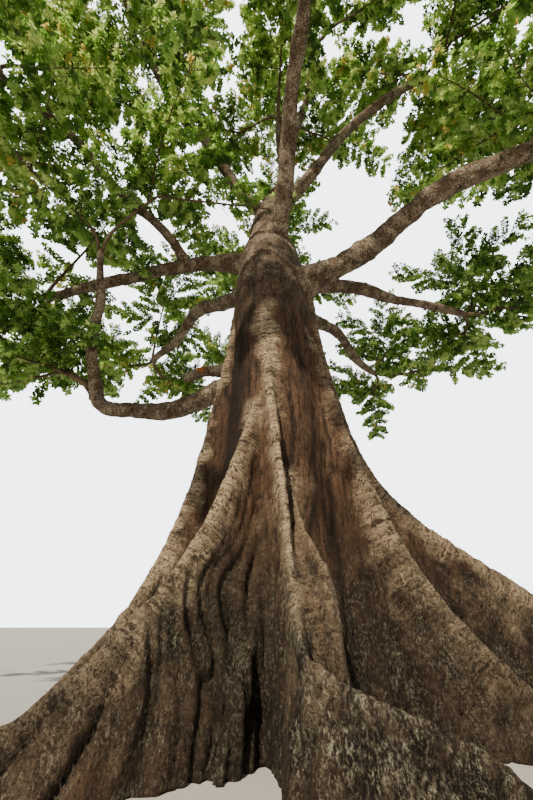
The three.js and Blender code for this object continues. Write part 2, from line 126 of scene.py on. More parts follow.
# Folds of the bark: how they flare outward with height, how much they are drawn out along the
# trunk, how many wide and fine ones there are in a metre, the height at which they get shallow and
# over how much of it, and how deep they stay above
FOLD_FLARE = 0.09
FOLD_STRETCH = 0.12
WIDE_FOLDS = 4.4
FINE_FOLDS = 9.5
FOLDS_END = 2.2
FOLDS_FADE = 0.4
HIGH_FOLDS = 0.1

# Relief besides the folds: how far from a crest the skin is smooth and wrinkled, how many wrinkles
# there are in a metre and how far they wander, and the depths of slow swellings and of the grain
SMOOTH_REACH = 0.32
WRINKLED_REACH = 0.45
WRINKLES_IN_METRE = 7
WRINKLE_WANDER = 2.5
SWELLING_DEPTH = 0.1
GRAIN_DEPTH = 0.04

# How far round a corner of the skin its hollows are measured, where the bark is painted darker as
# shade, and how far apart the marks on the crests lie that distances are measured to
HOLLOW_REACH = 0.35
CREST_MARKS = 0.03

# Lichen on the trunk: share of its flakes off the root, height at which it starts to get denser
# toward the ground, over how much of it, and its share above
LICHEN_OFF_ROOT = 0.6
LICHEN_TOP = 3.2
LICHEN_RISE = 1.6
LICHEN_ABOVE = 0.1

# Damp dark bark and painted shade: azimuth and spread in degrees, the heights between which it lies, and
# how dark it is. The first place is damp bark with painted shade on it, the other two are painted shade
# low on the front and low on the right-hand buttresses
DAMP_AND_SHADED_PLACES = ((204, 32, 0.8, 9.8, 1), (256, 15, -1, 3.3, 1), (336, 27, -1, 4.8, 0.62))

# Section of a plank: steps up one side, share of the foot's width that the crest has, how quickly
# the plank thins upward, and how sharply it rounds off at the crest
SECTION_STEPS = 20
CREST_SHARE = 0.28
SECTION_POWER = 2.4
CREST_ROUNDING = 14

# How a plank thins along its length, its sections, which crowd at the core, and the height above
# which its crest is drawn as worn
PLANK_THINNING = 0.45
STEP_CROWDING = 1.5
PLANK_STEPS = 70
CREST_FROM = 0.3

# Steps and sides of the trunk's core and of the leader, how far the leader's foot is sunk in the
# core, and rounds of smoothing where they and the planks meet
CORE_STEPS = 60
CORE_SIDES = 48
LEADER_STEPS = 40
LEADER_SIDES = 32
LEADER_SUNK = 0.8
FILLET_ROUNDS = 5

# Limbs: carrier, where each springs from it, azimuth and ground distance of the tip, its height,
# climb at both ends, turn of the tip in plan, radii at both ends, and the fan of masses it carries
Limb = namedtuple("Limb", "name carrier at azimuth run tip climb turn radii masses")
LIMBS = (
    Limb("leader", "trunk", TRUNK_TOP, 40, 0.9, 18.2, (86, 66), 20, (0.74, 0.36), "none"),
    Limb("bough_left_upper", "trunk", 11.75, 168, 9.0, 12.6, (44, -6), 0, (0.33, 0.17), "fan"),
    Limb("bough_left_lower", "trunk", 7.575, 162, 6.4, 8.17, (2, 58), 33, (0.34, 0.2), "single"),
    Limb("bough_left_rising", "bough_left_lower", 0.95, 273, 2.7, 12.2, (44, 62), 2, (0.19, 0.11), "pair"),
    Limb("broken_stub", "trunk", 8.25, 152, 3.3, 8.4, (4, 10), 0, (0.23, 0.15), "none"),
    Limb("bough_right_upper", "trunk", 10.3, -24, 9.8, 12.9, (28, -30), -16, (0.4, 0.27), "fan"),
    Limb("bough_right_lower", "trunk", 11.0, 19, 8.8, 12.7, (22, 4), 4, (0.26, 0.15), "spread"),
    Limb("bough_front", "trunk", 12.25, 276, 7.8, 16.4, (50, 14), -16, (0.32, 0.15), "fan"),
    Limb("bough_front_left", "bough_left_upper", 0.38, 226, 6.9, 15.2, (44, 10), 0, (0.17, 0.12), "fan"),
    Limb("bough_back_left", "trunk", 11.1, 132, 9.2, 13.3, (30, 6), -10, (0.33, 0.15), "fan"),
    Limb("bough_back", "trunk", 12.3, 92, 9.0, 15.4, (38, 8), 12, (0.34, 0.15), "fan"),
    Limb("bough_back_right", "trunk", 11.3, 52, 9.4, 12.9, (28, 2), -8, (0.33, 0.15), "spread"),
    Limb("bough_high_left", "leader", 0.37, 210, 6.4, 22.4, (14, 44), 5, (0.22, 0.13), "fan"),
    Limb("bough_high_right", "leader", 0.3, 335, 6.6, 20.1, (42, 20), 10, (0.25, 0.14), "fan"),
    Limb("bough_high_back", "leader", 0.55, 88, 6.0, 20.9, (44, 30), 14, (0.23, 0.14), "fan"),
    Limb("bough_high_front", "leader", 0.72, 292, 3.9, 21.3, (40, 36), -10, (0.2, 0.12), "pair"),
    Limb("bough_top", "leader", 1, 262, 1.3, 22.4, (66, 76), 0, (0.355, 0.17), "crown"),
)
CROOK = 0.02
CROOK_WAVES = (7, 9, 11)

# Skin of a limb: its sides, the length of a step, the depth of its relief, and at how many radii
# from the tip it rounds off
LIMB_SIDES = 22
LIMB_STEP = 0.11
LIMB_RELIEF = 0.42
TIP_ROUNDING = 1.5

# Swelling where a limb leaves its carrier, and how quickly it fades along the limb
COLLAR = 0.38
COLLAR_FADE = 0.55

# Broken stub: steps, depth of its relief, how long its splinters are and how far they start behind
# the break, and how deep the hollow in its end is
STUB_STEPS = 36
STUB_RELIEF = 0.5
SPLINTERS = 0.34
SPLINTER_START = 0.3
STUB_HOLLOW = 0.5

# Rotten wound in the broken stub's side: share of its length, azimuth and climb it faces, and size
ROT_PLACE = (0.76, 262, 12)
ROT_SIZE = 0.17

# Random stream of the solids, which turns each mass's first twig: how a seed starts it, and its step
STREAM_SPREAD = 48271
STREAM_OFFSET = 11
STREAM_STEP = 16807
STREAM_MODULUS = 2147483647

# Seeds of the boughs' relief, which are some way apart, of the stub's relief and splinters, and of
# the bends of twigs
BOUGH_SEED = 100
BOUGH_SEED_STEP = 10
STUB_SEED = 300
SPLINTER_SEED = 5
TWIG_BEND_SEED = 3

# Masses of foliage: how they fan from a bough's tip, how far out, and the half sizes of their space
FANS = {
    "none": (),
    "single": ((0, 14),),
    "pair": ((-52, 14), (58, 34)),
    "fan": ((-46, 0), (46, 6), (168, 62)),
    "spread": ((-46, 0), (46, 6), (4, 56)),
    "crown": ((-110, 16), (10, 12), (130, 20), (0, 82)),
}
MASS_DISTANCE = 3.6
MASS_SHAPE = np.array([4.3, 4.3, 3.1])
STEM_SPREAD = 0.092
STEM_ASIDE = 0.4

# Branches of a mass: every second one is a twig of the solid, and one more stands at the top. Their
# climbs in degrees vary, they end a little inside the mass's space, they are left out where that
# makes them too short, and they bend and rise a little
BRANCHES_PER_MASS = 9
BRANCH_SPAN = (0.3, 0.97)
BRANCH_CLIMBS = (-12, 36)
CLIMB_VARIES = 20
BRANCH_TURN = 68.75
TOP_BRANCH = (-60, 62)
BRANCH_INSET = 0.35
SHORTEST_BRANCH = 0.3
BRANCH_BEND = 0.045
BRANCH_RISE = 0.03

# Twigs of a branch: angles in degrees at which they leave it, and by how much in radians they turn
# out of its plane, length near its foot, how much they shorten toward its tip, how they vary, how
# far inside the mass's space they end, the shortest that is kept, and how they bend
TWIG_ANGLES = (38, 66)
TWIG_TURN = 0.7
TWIG_LENGTH = 1.35
TWIG_SHORTENING = 0.55
TWIG_VARIES = (0.75, 1.15)
TWIG_INSET = 0.3
SHORTEST_TWIG = 0.08
TWIG_BEND = 0.05

# Sprays of a twig: angles in degrees, by how much in radians they turn aside, how much they rise
# toward the light, and the lengths of their stalks
SPRAY_ANGLES = (40, 70)
SPRAY_TURN = 0.8
SPRAY_RISE = 0.55
STALK_LENGTHS = (0.09, 0.17)

# Leaves of a rosette: turn from one to the next, angle from the axis of the first and last and how
# they scatter, in degrees, how deep the rosette is, how their faces turn up and vary, how their
# lengths vary, how they grow from the first to the last, and the outline of a leaf of length 1
GOLDEN_ANGLE = 137.5
LEAF_ANGLES = (28, 100)
LEAF_SCATTER = 11
ROSETTE_DEPTH = 0.1
LEAF_UPTURN = 0.5
LEAF_TILT = 0.28
LEAF_VARIES = (0.72, 1.08)
LEAF_GROWTH = (0.7, 1.05)
LEAF_OUTLINE = ((0, 0, 0), (0.44, 0.33, 0.09), (1, 0, -0.1), (0.44, -0.33, 0.09))

# Thickness of the growth: the stems' feet as shares of the bough's tip, where one or several leave
# it, how far back in the bough they start, radius of their tips, radii of branches and twigs and
# what each metre of length adds, the share of it at their tips, and both radii of a stalk
LONE_STEM = 0.85
FORKED_STEM = 0.62
STEM_SUNK = 0.35
STEM_TIP = 0.026
BRANCH_RADIUS = (0.009, 0.0085)
BRANCH_TAPER = 0.25
TWIG_RADIUS = (0.007, 0.006)
TWIG_TAPER = 0.4
STALK_RADII = (0.006, 0.003)

# Open places in the crown: their waves in a metre and their share of the noise, the room that leaves
# keep round the limbs, and how far leafy shoots may reach past the box round the solids
GAP_WAVES = 0.42
GAP_SHARE = 0.16
LIMB_ROOM = 0.3
OVERHANG = 0.5


def linear(code):
    """A hex colour as linear red, green, blue and alpha."""
    channels = [int(code[index : index + 2], 16) / 255 for index in (0, 2, 4)]
    curved = [c / 12.92 if c <= 0.04045 else ((c + 0.055) / 1.055) ** 2.4 for c in channels]
    return (*curved, 1.0)


class TreeSettings(bpy.types.PropertyGroup):
    """Sizes of the bark's relief and of the finest growth, and the colours of the bark."""

    voxel_size: FloatProperty(
        name="Voxel size",
        description="Edge of the voxels that join the trunk's planks into one skin",
        default=0.0615,
        min=0.02,
        unit="LENGTH",
        subtype="DISTANCE",
    )
    fold_depth: FloatProperty(
        name="Fold depth",
        description="Depth of the grooves between the rope-like folds on the trunk's flanks",
        default=0.19,
        unit="LENGTH",
        subtype="DISTANCE",
    )
    wrinkle_depth: FloatProperty(
        name="Wrinkle depth",
        description="Depth of the wrinkles that run across the crests",
        default=0.028,
        unit="LENGTH",
        subtype="DISTANCE",
    )
    twig_spacing: FloatProperty(
        name="Twig spacing",
        description="Distance between two twigs along a branch",
        default=0.21,
        min=0.1,
        unit="LENGTH",
        subtype="DISTANCE",
    )
    spray_spacing: FloatProperty(
        name="Spray spacing",
        description="Distance between two sprays along a twig",
        default=0.078,
        min=0.05,
        unit="LENGTH",
        subtype="DISTANCE",
    )
    leaves_per_spray: IntProperty(
        name="Leaves per spray",
        description="Leaves in the rosette at the end of a spray",
        default=9,
        min=3,
    )
    leaf_length: FloatProperty(
        name="Leaf length",
        description="Length of a full-grown leaf",
        default=0.215,
        unit="LENGTH",
        subtype="DISTANCE",
    )
    bark_colour: FloatVectorProperty(
        name="Bark",
        description="Light streaks of the bark on the trunk's flanks",
        default=linear("725743"),
        size=4,
        subtype="COLOR",
    )
    # The crests' pale colour is worn bark and in part a painted highlight
    crest_colour: FloatVectorProperty(
        name="Crests",
        description="Worn bark on the crests of the buttresses",
        default=linear("c8b496"),
        size=4,
        subtype="COLOR",
    )
    bough_colour: FloatVectorProperty(
        name="Boughs",
        description="Light bark between the furrows of the boughs",
        default=linear("634f3d"),
        size=4,
        subtype="COLOR",
    )
    lichen_colour: FloatVectorProperty(
        name="Lichen",
        description="Flakes of lichen low on the trunk and on its root",
        default=linear("a19c88"),
        size=4,
        subtype="COLOR",
    )
    seed: IntProperty(
        name="Seed",
        description="Number that all random growth starts from",
        default=7,
    )


def heading(azimuth, climb):
    """A direction from its azimuth and its climb above the level, in degrees."""
    level = math.cos(math.radians(climb))
    turn = math.radians(azimuth)
    return np.array([level * math.cos(turn), level * math.sin(turn), math.sin(math.radians(climb))])


def unit(vectors):
    """Vectors scaled to length 1."""
    lengths = np.linalg.norm(vectors, axis=-1, keepdims=True)
    return vectors / np.maximum(lengths, 1e-9)


def blend(low, high, share):
    """The value between two values at a share of the way."""
    return low + (high - low) * share


def noise_field(points, seed):
    """Smooth noise from 0 to 1 that varies over about one unit of the points' coordinates."""
    size = 32
    table = np.random.default_rng(seed).random((size, size, size))
    low = np.floor(points).astype(int)
    share = points - low
    share = share * share * (3 - 2 * share)
    total = np.zeros(len(points))
    for corner in np.ndindex(2, 2, 2):
        index = (low + corner) % size
        weight = np.prod(np.where(corner, share, 1 - share), axis=1)
        total += weight * table[index[:, 0], index[:, 1], index[:, 2]]
    return total


def layered_noise(points, seed, layers=3):
    """Noise from about 0 to 1 with finer and fainter layers on it."""
    weights = 0.5 ** np.arange(layers)
    fields = [noise_field(points * 2.0**layer, seed + layer) for layer in range(layers)]
    return sum(weight * field for weight, field in zip(weights, fields)) / weights.sum()


class Curve:
    """A curve in space from a function of 0 to 1, with places along it by share of its length."""

    def __init__(self, function):
        self.function = function
        self.points = function(np.linspace(0, 1, 201))
        steps = np.linalg.norm(np.diff(self.points, axis=0), axis=1)
        self.reached = np.concatenate(([0], np.cumsum(steps)))
        self.length = self.reached[-1]

    def at(self, share):
        """Points at shares of the length."""
        wanted = np.asarray(share) * self.length
        return np.stack([np.interp(wanted, self.reached, axis) for axis in self.points.T], axis=-1)

    def end_direction(self):
        """The direction in which the curve ends."""
        ends = self.function(np.array([1 - 1e-4, 1]))
        return unit(ends[1] - ends[0])


def bezier(*controls):
    """The function of a cubic curve from its four control points."""
    first, second, third, fourth = controls

    def function(t):
        t = np.asarray(t)[:, None]
        rest = 1 - t
        return (
            rest**3 * first
            + 3 * rest**2 * t * second
            + 3 * rest * t**2 * third
            + t**3 * fourth
        )

    return function


def crooked(function, size, phase):
    """The function of a curve moved aside and up in slow waves."""

    def moved(t):
        waves = np.stack(
            [
                np.sin(CROOK_WAVES[0] * t + phase),
                np.cos(CROOK_WAVES[1] * t + 2 * phase),
                np.sin(CROOK_WAVES[2] * t + 3 * phase),
            ],
            axis=-1,
        )
        return function(t) + size * np.sin(np.pi * t)[:, None] * waves

    return moved


def trunk_centre(heights):
    """Points on the trunk's axis at heights."""
    heights = np.asarray(heights, dtype=float)
    lean = TRUNK_LEAN * (heights / TRUNK_TOP) ** 2
    return np.stack([lean, np.zeros_like(heights), heights], axis=-1)


def place_limbs():
    """Each limb's curve, its size and how far its carrier covers it, by name."""
    placed = {}
    for index, limb in enumerate(LIMBS):
        on_trunk = limb.carrier == "trunk"
        ends_carrier = limb.at == (TRUNK_TOP if on_trunk else 1)
        start = trunk_centre(limb.at) if on_trunk else placed[limb.carrier]["curve"].at(limb.at)
        end = start + heading(limb.azimuth, 0) * limb.run
        end[2] = limb.tip
        third = np.linalg.norm(end - start) / 3
        leave = heading(limb.azimuth - limb.turn / 2, limb.climb[0])
        if ends_carrier and on_trunk:
            leave = unit(start - trunk_centre(limb.at - 0.01))
        elif ends_carrier:
            leave = unit(start - placed[limb.carrier]["curve"].at(0.999))
        arrive = heading(limb.azimuth + limb.turn, limb.climb[1])
        smooth = bezier(start, start + leave * third, end - arrive * third, end)
        function = smooth if ends_carrier else crooked(smooth, CROOK * 3 * third, index)
        covered = 0 if ends_carrier else limb_cover(limb, placed)
        placed[limb.name] = {"limb": limb, "curve": Curve(function), "covered": covered}
    return placed


def limb_cover(limb, placed):
    """How much of a limb's first stretch lies inside its carrier."""
    if limb.carrier == "trunk":
        return float(np.interp(limb.at, TRUNK_HEIGHTS, TRUNK_RADII))
    carrier = placed[limb.carrier]["limb"]
    return blend(carrier.radii[0], carrier.radii[1], limb.at)


def place_masses(placed):
    """The name, centre and stem of each mass of foliage, and the limb that carries it."""
    masses = []
    for name, entry in placed.items():
        limb, curve = entry["limb"], entry["curve"]
        tip, direction = curve.at(1), curve.end_direction()
        azimuth = math.degrees(math.atan2(direction[1], direction[0]))
        side = unit(np.cross(direction, UP))
        over = np.cross(side, direction)
        fan = FANS[limb.masses]
        for index, (turn, climb) in enumerate(fan):
            toward = heading(azimuth + turn, climb)
            centre = tip + toward * MASS_DISTANCE
            flat = np.array([toward @ side, toward @ over])
            aside = len(fan) > 1 and np.linalg.norm(flat) > STEM_ASIDE
            flat = unit(flat) * STEM_SPREAD * aside
            start = tip + side * flat[0] + over * flat[1]
            stem = bezier(
                start,
                start + direction * MASS_DISTANCE / 4,
                centre - toward * MASS_DISTANCE / 3,
                centre + UP * MASS_SHAPE[2] / 4,
            )
            node = f"leaves_{name.replace('bough_', '')}_{index + 1}"
            masses.append({"node": node, "centre": centre, "stem": Curve(stem), "limb": name})
    return masses


def make_mesh(name, vertices, faces):
    """A mesh from an array of corners and a list of arrays of faces with equally many corners."""
    mesh = bpy.data.meshes.new(name)
    corners = np.concatenate([part.ravel() for part in faces])
    sizes = np.concatenate([np.full(len(part), part.shape[1]) for part in faces])
    mesh.vertices.add(len(vertices))
    mesh.vertices.foreach_set("co", np.ascontiguousarray(vertices, dtype=np.float32).ravel())
    mesh.loops.add(len(corners))
    mesh.loops.foreach_set("vertex_index", corners.astype(np.int32))
    mesh.polygons.add(len(sizes))
    mesh.polygons.foreach_set("loop_start", (np.cumsum(sizes) - sizes).astype(np.int32))
    mesh.update(calc_edges=True)
    mesh.validate()
    return mesh


def add_piece(name, mesh, material, nodes):
    """An object in the scene that rides on the tree and stands for the solids it replaces."""
    mesh.materials.clear()
    mesh.materials.append(material)
    piece = bpy.data.objects.new(name, mesh)
    bpy.context.scene.collection.objects.link(piece)
    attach(piece, "root")
    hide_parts(*nodes)


def ring_faces(rings, sides):
    """Faces between rings of corners, which run round and are stacked one after another."""
    ring, side = np.meshgrid(np.arange(rings - 1), np.arange(sides), indexing="ij")
    near, far = ring * sides, (ring + 1) * sides
    after = (side + 1) % sides
    return np.stack([near + side, near + after, far + after, far + side], axis=-1).reshape(-1, 4)


def carried_frames(points):
    """Directions along a line of points, and two directions across it that don't twist."""
    along = unit(np.gradient(points, axis=0))
    side = np.empty_like(points)
    side[0] = unit(np.cross(along[0], UP if abs(along[0][2]) < 0.9 else np.array([1.0, 0, 0])))
    for index in range(1, len(points)):
        kept = side[index - 1] - along[index] * (side[index - 1] @ along[index])
        side[index] = unit(kept)
    return along, side, np.cross(along, side)


def tube(points, radii, sides, relief=None):
    """Corners and faces of a closed tube along points, with a relief factor on its radius."""
    angles = 2 * np.pi * np.arange(sides) / sides
    _, side, over = carried_frames(points)
    round_it = side[:, None] * np.cos(angles)[:, None] + over[:, None] * np.sin(angles)[:, None]
    factor = np.ones((len(points), sides)) if relief is None else relief(points, angles)
    rings = points[:, None] + round_it * (radii[:, None] * factor)[..., None]
    vertices = np.concatenate([rings.reshape(-1, 3), points[:1], points[-1:]])
    first, last = len(vertices) - 2, len(vertices) - 1
    corner = np.arange(sides)
    after = (corner + 1) % sides
    end = (len(points) - 1) * sides
    caps = np.concatenate(
        [
            np.stack([after, corner, np.full(sides, first)], axis=1),
            np.stack([end + corner, end + after, np.full(sides, last)], axis=1),
        ]
    )
    return vertices, [ring_faces(len(points), sides), caps]


def joined(parts):
    """Corners and faces of several shapes as one."""
    offset = 0
    corners, faces = [], []
    for vertices, shapes in parts:
        corners.append(vertices)
        faces.extend(shape + offset for shape in shapes)
        offset += len(vertices)
    return np.concatenate(corners), faces


def crest_height(sizes, left):
    """Height of a plank's crest at the share of its length that is still to go."""
    return (sizes.height - sizes.toe) * left**sizes.steepness + sizes.toe * left**sizes.toe_power


def buttress_path(sizes):
    """The function of a buttress's path over the ground."""

    def path(along):
        distance = blend(BUTTRESS_START, sizes.reach, along)
        distance = distance - BUTTRESS_INSET * (along <= 0)
        angle = np.radians(sizes.azimuth + sizes.bend * along)
        return np.stack([distance * np.cos(angle), distance * np.sin(angle)], axis=-1)

    return path


def rib_path():
    """The function of the front rib's path over the ground, a smooth line through its points."""
    marks = np.array(RIB_PATH)
    ends = np.concatenate([[2 * marks[0] - marks[1]], marks, [2 * marks[-1] - marks[-2]]])
    spans = len(marks) - 1

    def smooth(t):
        place = np.clip(np.asarray(t) * spans, 0, spans - 1e-9)
        index = place.astype(int)
        share = (place - index)[:, None]
        before, start, end, after = (ends[index + step] for step in range(4))
        bend = 2 * before - 5 * start + 4 * end - after
        twist = 3 * start - before - 3 * end + after
        flat = start + 0.5 * ((end - before) * share + bend * share**2 + twist * share**3)
        return np.concatenate([flat, np.zeros((len(flat), 1))], axis=1)

    line = Curve(smooth)
    return lambda along: line.at(along)[:, :2]


def plank(path, sizes):
    """Corners and faces of a plank from below the ground to its crest, and points on its crest."""
    along = np.linspace(0, 1, PLANK_STEPS) ** STEP_CROWDING
    place = path(along)
    ahead = unit(path(np.minimum(along + 0.01, 1)) - path(np.maximum(along - 0.01, 0)))
    across = np.stack([-ahead[:, 1], ahead[:, 0]], axis=1)
    half_width = sizes.foot * (1 - PLANK_THINNING * along)
    crest = crest_height(sizes, 1 - along)
    level = np.linspace(0, 1, SECTION_STEPS)
    width = CREST_SHARE + (1 - CREST_SHARE) * (1 - level) ** SECTION_POWER
    rounding = np.sqrt(np.clip((1 - level) * CREST_ROUNDING, 0.02, 1))
    outline_x = np.concatenate([width * rounding, -(width * rounding)[::-1]])
    outline_y = np.concatenate([level, level[::-1]])
    foot = TRUNK_HEIGHTS[0]
    flat = place[:, None] + across[:, None] * (half_width[:, None] * outline_x)[..., None]
    height = foot + (crest[:, None] - foot) * outline_y
    rings = np.concatenate([flat, height[..., None]], axis=2)
    sides = len(outline_x)
    vertices = rings.reshape(-1, 3)
    ends = [np.arange(sides)[::-1][None], (len(along) - 1) * sides + np.arange(sides)[None]]
    crest_line = np.concatenate([place, crest[:, None]], axis=1)
    return (vertices, [ring_faces(len(along), sides), *ends]), crest_line[crest > CREST_FROM]


def trunk_shapes(placed):
    """The overlapping shapes of the trunk and leader, and the lines of the crests."""
    heights = np.linspace(TRUNK_HEIGHTS[0], TRUNK_TOP, CORE_STEPS)
    core = tube(trunk_centre(heights), np.interp(heights, TRUNK_HEIGHTS, TRUNK_RADII), CORE_SIDES)
    leader = placed["leader"]
    shares = np.linspace(0, 1, LEADER_STEPS)
    foot = trunk_centre([TRUNK_TOP - LEADER_SUNK])
    leader_points = np.concatenate([foot, leader["curve"].at(shares)])
    leader_radii = blend(*leader["limb"].radii, np.concatenate([[0], shares]))
    shapes = [core, tube(leader_points, leader_radii, LEADER_SIDES)]
    crests = []
    planks = [(buttress_path(sizes), sizes) for sizes in BUTTRESSES]
    for path, sizes in (*planks, (rib_path(), RIB)):
        shape, crest = plank(path, sizes)
        shapes.append(shape)
        crests.append(crest)
    return shapes, crests


def remeshed(vertices, faces, voxel, smoothing):
    """One closed skin round overlapping shapes, smoothed where they meet."""
    rough = bpy.data.objects.new("rough", make_mesh("rough", vertices, faces))
    bpy.context.scene.collection.objects.link(rough)
    remesh = rough.modifiers.new("Join", "REMESH")
    remesh.mode = "VOXEL"
    remesh.voxel_size = voxel
    smooth = rough.modifiers.new("Fillet", "SMOOTH")
    smooth.factor = 0.5
    smooth.iterations = smoothing
    depsgraph = bpy.context.evaluated_depsgraph_get()
    skin = bpy.data.meshes.new_from_object(rough.evaluated_get(depsgraph))
    bpy.data.objects.remove(rough)
    return skin


def mesh_points(mesh):
    """Places and directions of a mesh's corners, as arrays."""
    places = np.empty(len(mesh.vertices) * 3, dtype=np.float32)
    normals = np.empty(len(mesh.vertices) * 3, dtype=np.float32)
    mesh.vertices.foreach_get("co", places)
    mesh.vertex_normals.foreach_get("vector", normals)
    return places.reshape(-1, 3).astype(float), normals.reshape(-1, 3).astype(float)


def add_attribute(mesh, name, values):
    """A number for each corner of a mesh, for its material to read."""
    attribute = mesh.attributes.new(name, "FLOAT", "POINT")
    attribute.data.foreach_set("value", values.astype(np.float32))


def nearest_crest(points, crests):
    """For each point, its distance from the nearest crest, how far along it that is, and its number."""
    tree = kdtree.KDTree(sum(len(crest) for crest in crests))
    reached, numbers = [], []
    for number, crest in enumerate(crests):
        steps = np.linalg.norm(np.diff(crest, axis=0), axis=1)
        reached.append(np.concatenate(([0], np.cumsum(steps))) + CREST_OFFSET * number)
        numbers.append(np.full(len(crest), number))
    for index, place in enumerate(np.concatenate(crests)):
        tree.insert(place, index)
    tree.balance()
    found = [tree.find(point)[1:] for point in points]
    index, distance = np.array([pair[0] for pair in found]), np.array([pair[1] for pair in found])
    return distance, np.concatenate(reached)[index], np.concatenate(numbers)[index]


def dense_line(line):
    """A line of points with more points between them, for distances to be measured to."""
    steps = np.linalg.norm(np.diff(line, axis=0), axis=1)
    reached = np.concatenate(([0], np.cumsum(steps)))
    wanted = np.arange(0, reached[-1], CREST_MARKS)
    return np.stack([np.interp(wanted, reached, axis) for axis in line.T], axis=-1)


def sampled(grid, cells):
    """Values of a grid between its points, blended from the eight round each place."""
    low = np.floor(cells).astype(int)
    share = cells - low
    total = np.zeros(len(cells))
    for corner in np.ndindex(2, 2, 2):
        index = low + corner
        weight = np.prod(np.where(corner, share, 1 - share), axis=1)
        total += weight * grid[index[:, 0], index[:, 1], index[:, 2]]
    return total


def hollowness(places, normals):
    """How deep in a hollow of the skin each corner lies, in metres: below zero on edges."""
    cells = (places - places.min(axis=0)) / HOLLOW_REACH + 2
    nearest = np.round(cells).astype(int)
    shape = nearest.max(axis=0) + 3
    flat = np.ravel_multi_index(nearest.T, shape)
    sums = []
    for weights in (*places.T, None):
        grid = np.bincount(flat, weights, minlength=np.prod(shape)).reshape(shape)
        for axis in range(3):
            grid = np.roll(grid, 1, axis) + grid + np.roll(grid, -1, axis)
        sums.append(sampled(grid, cells))
    centre = np.stack(sums[:3], axis=1) / sums[3][:, None]
    return ((centre - places) * normals).sum(axis=1)


def damp_and_shade_amount(places):
    """How dark the bark is painted at each corner, from 0 to 1: partly damp bark, partly painted shade."""
    azimuths = np.degrees(np.arctan2(places[:, 1], places[:, 0]))
    heights = places[:, 2] + layered_noise(places * 1.5, seed=91, layers=2)
    damp = np.zeros(len(places))
    for azimuth, spread, low, high, darkness in DAMP_AND_SHADED_PLACES:
        aside = (azimuths - azimuth + 180) % 360 - 180
        beside = np.exp(-((aside / spread) ** 4))
        level = np.clip(heights - low, 0, 1) * np.clip(high - heights, 0, 1)
        damp = np.maximum(damp, darkness * beside * level)
    return damp


def bark_folds(places):
    """Rope-like folds that run down the trunk and flare outward, from 0 in a groove to 1 on a fold."""
    flared = places * np.array([1, 1, 0]) * (1 + FOLD_FLARE * places[:, 2:])
    warp = layered_noise(places * 0.5, seed=11, layers=2)[:, None] * np.array([1.0, 1.0, 0])
    flow = flared + warp + places * np.array([0, 0, FOLD_STRETCH])
    wide = np.abs(2 * noise_field(flow * WIDE_FOLDS, seed=21) - 1)
    fine = np.abs(2 * noise_field(flow * FINE_FOLDS, seed=31) - 1)
    return np.clip(1.5 * np.sqrt(wide) * (0.6 + 0.4 * np.sqrt(fine)), 0, 1)


def bark_relief(places, from_crest, along, worn, folds, settings):
    """How far the trunk's skin moves out at each corner: folds, swellings, wrinkles and grain."""
    off_crest = 1 - worn * np.exp(-((from_crest / SMOOTH_REACH) ** 2))
    low = HIGH_FOLDS + (1 - HIGH_FOLDS) / (1 + np.exp((places[:, 2] - FOLDS_END) / FOLDS_FADE))
    swell = layered_noise(places * 0.8, seed=41, layers=2) - 0.5
    crumple = layered_noise(places * 2.2, seed=45, layers=2)
    ahead = along * WRINKLES_IN_METRE + WRINKLE_WANDER * crumple
    wrinkles = layered_noise(np.stack([ahead, from_crest * 2.2, along * 0.6], axis=1), seed=51) - 0.5
    wrinkled = worn * np.exp(-from_crest / WRINKLED_REACH) * np.clip(3 * crumple - 0.8, 0.2, 1)
    grains = layered_noise(places * np.array([9, 9, 5]), seed=61) - 0.5
    return (
        settings.fold_depth * low * off_crest * (folds - 0.6)
        + SWELLING_DEPTH * swell
        + 2 * settings.wrinkle_depth * wrinkled * wrinkles
        + GRAIN_DEPTH * grains
    )


def cut_at_ground(mesh):
    """Cuts a mesh off flat at the ground and closes it there."""
    work = bmesh.new()
    work.from_mesh(mesh)
    geometry = work.verts[:] + work.edges[:] + work.faces[:]
    bmesh.ops.bisect_plane(work, geom=geometry, plane_co=(0, 0, 0), plane_no=UP, clear_inner=True)
    rim = [edge for edge in work.edges if edge.is_boundary]
    bmesh.ops.holes_fill(work, edges=rim)
    work.to_mesh(mesh)
    work.free()


def make_trunk(settings):
    """The trunk and leader as one skin with the bark's relief."""
    placed = place_limbs()
    shapes, crests = trunk_shapes(placed)
    mesh = remeshed(*joined(shapes), settings.voxel_size, FILLET_ROUNDS)
    mesh.name = "trunk_skin"
    places, normals = mesh_points(mesh)
    from_crest, along, number = nearest_crest(places, [dense_line(crest) for crest in crests])
    worn = np.array([sizes.worn for sizes in (*BUTTRESSES, RIB)])[number]
    folds = bark_folds(places)
    relief = bark_relief(places, from_crest, along, worn, folds, settings)
    mesh.vertices.foreach_set("co", (places + normals * relief[:, None]).astype(np.float32).ravel())
    lowness = np.interp(-places[:, 2], -np.array(CREST_WIDENS), (0, 1))
    on_root = np.where(number == len(BUTTRESSES), 1, LICHEN_OFF_ROOT)
    near_ground = np.clip((LICHEN_TOP - places[:, 2]) / LICHEN_RISE, LICHEN_ABOVE, 1)
    traits = {
        "from_crest": from_crest / (1 + CREST_WIDENING * lowness),
        "along": along,
        "worn": worn,
        "folds": folds,
        "hollowness": hollowness(places, normals),
        "damp": damp_and_shade_amount(places),
        "flaky": on_root * near_ground,
    }
    for name in BARK_TRAITS:
        add_attribute(mesh, name, traits[name])
    cut_at_ground(mesh)
    mesh.shade_smooth()
    add_piece("trunk_skin", mesh, bark_material(settings), ["trunk", "leader"])


def limb_radii(entry, reached):
    """Radii of a limb at distances along it, with the swelling where it leaves its carrier."""
    limb = entry["limb"]
    share = reached / entry["curve"].length
    collar = 1 + COLLAR * np.exp(-np.maximum(reached - entry["covered"], 0) / COLLAR_FADE)
    return blend(limb.radii[0], limb.radii[1], share) * collar


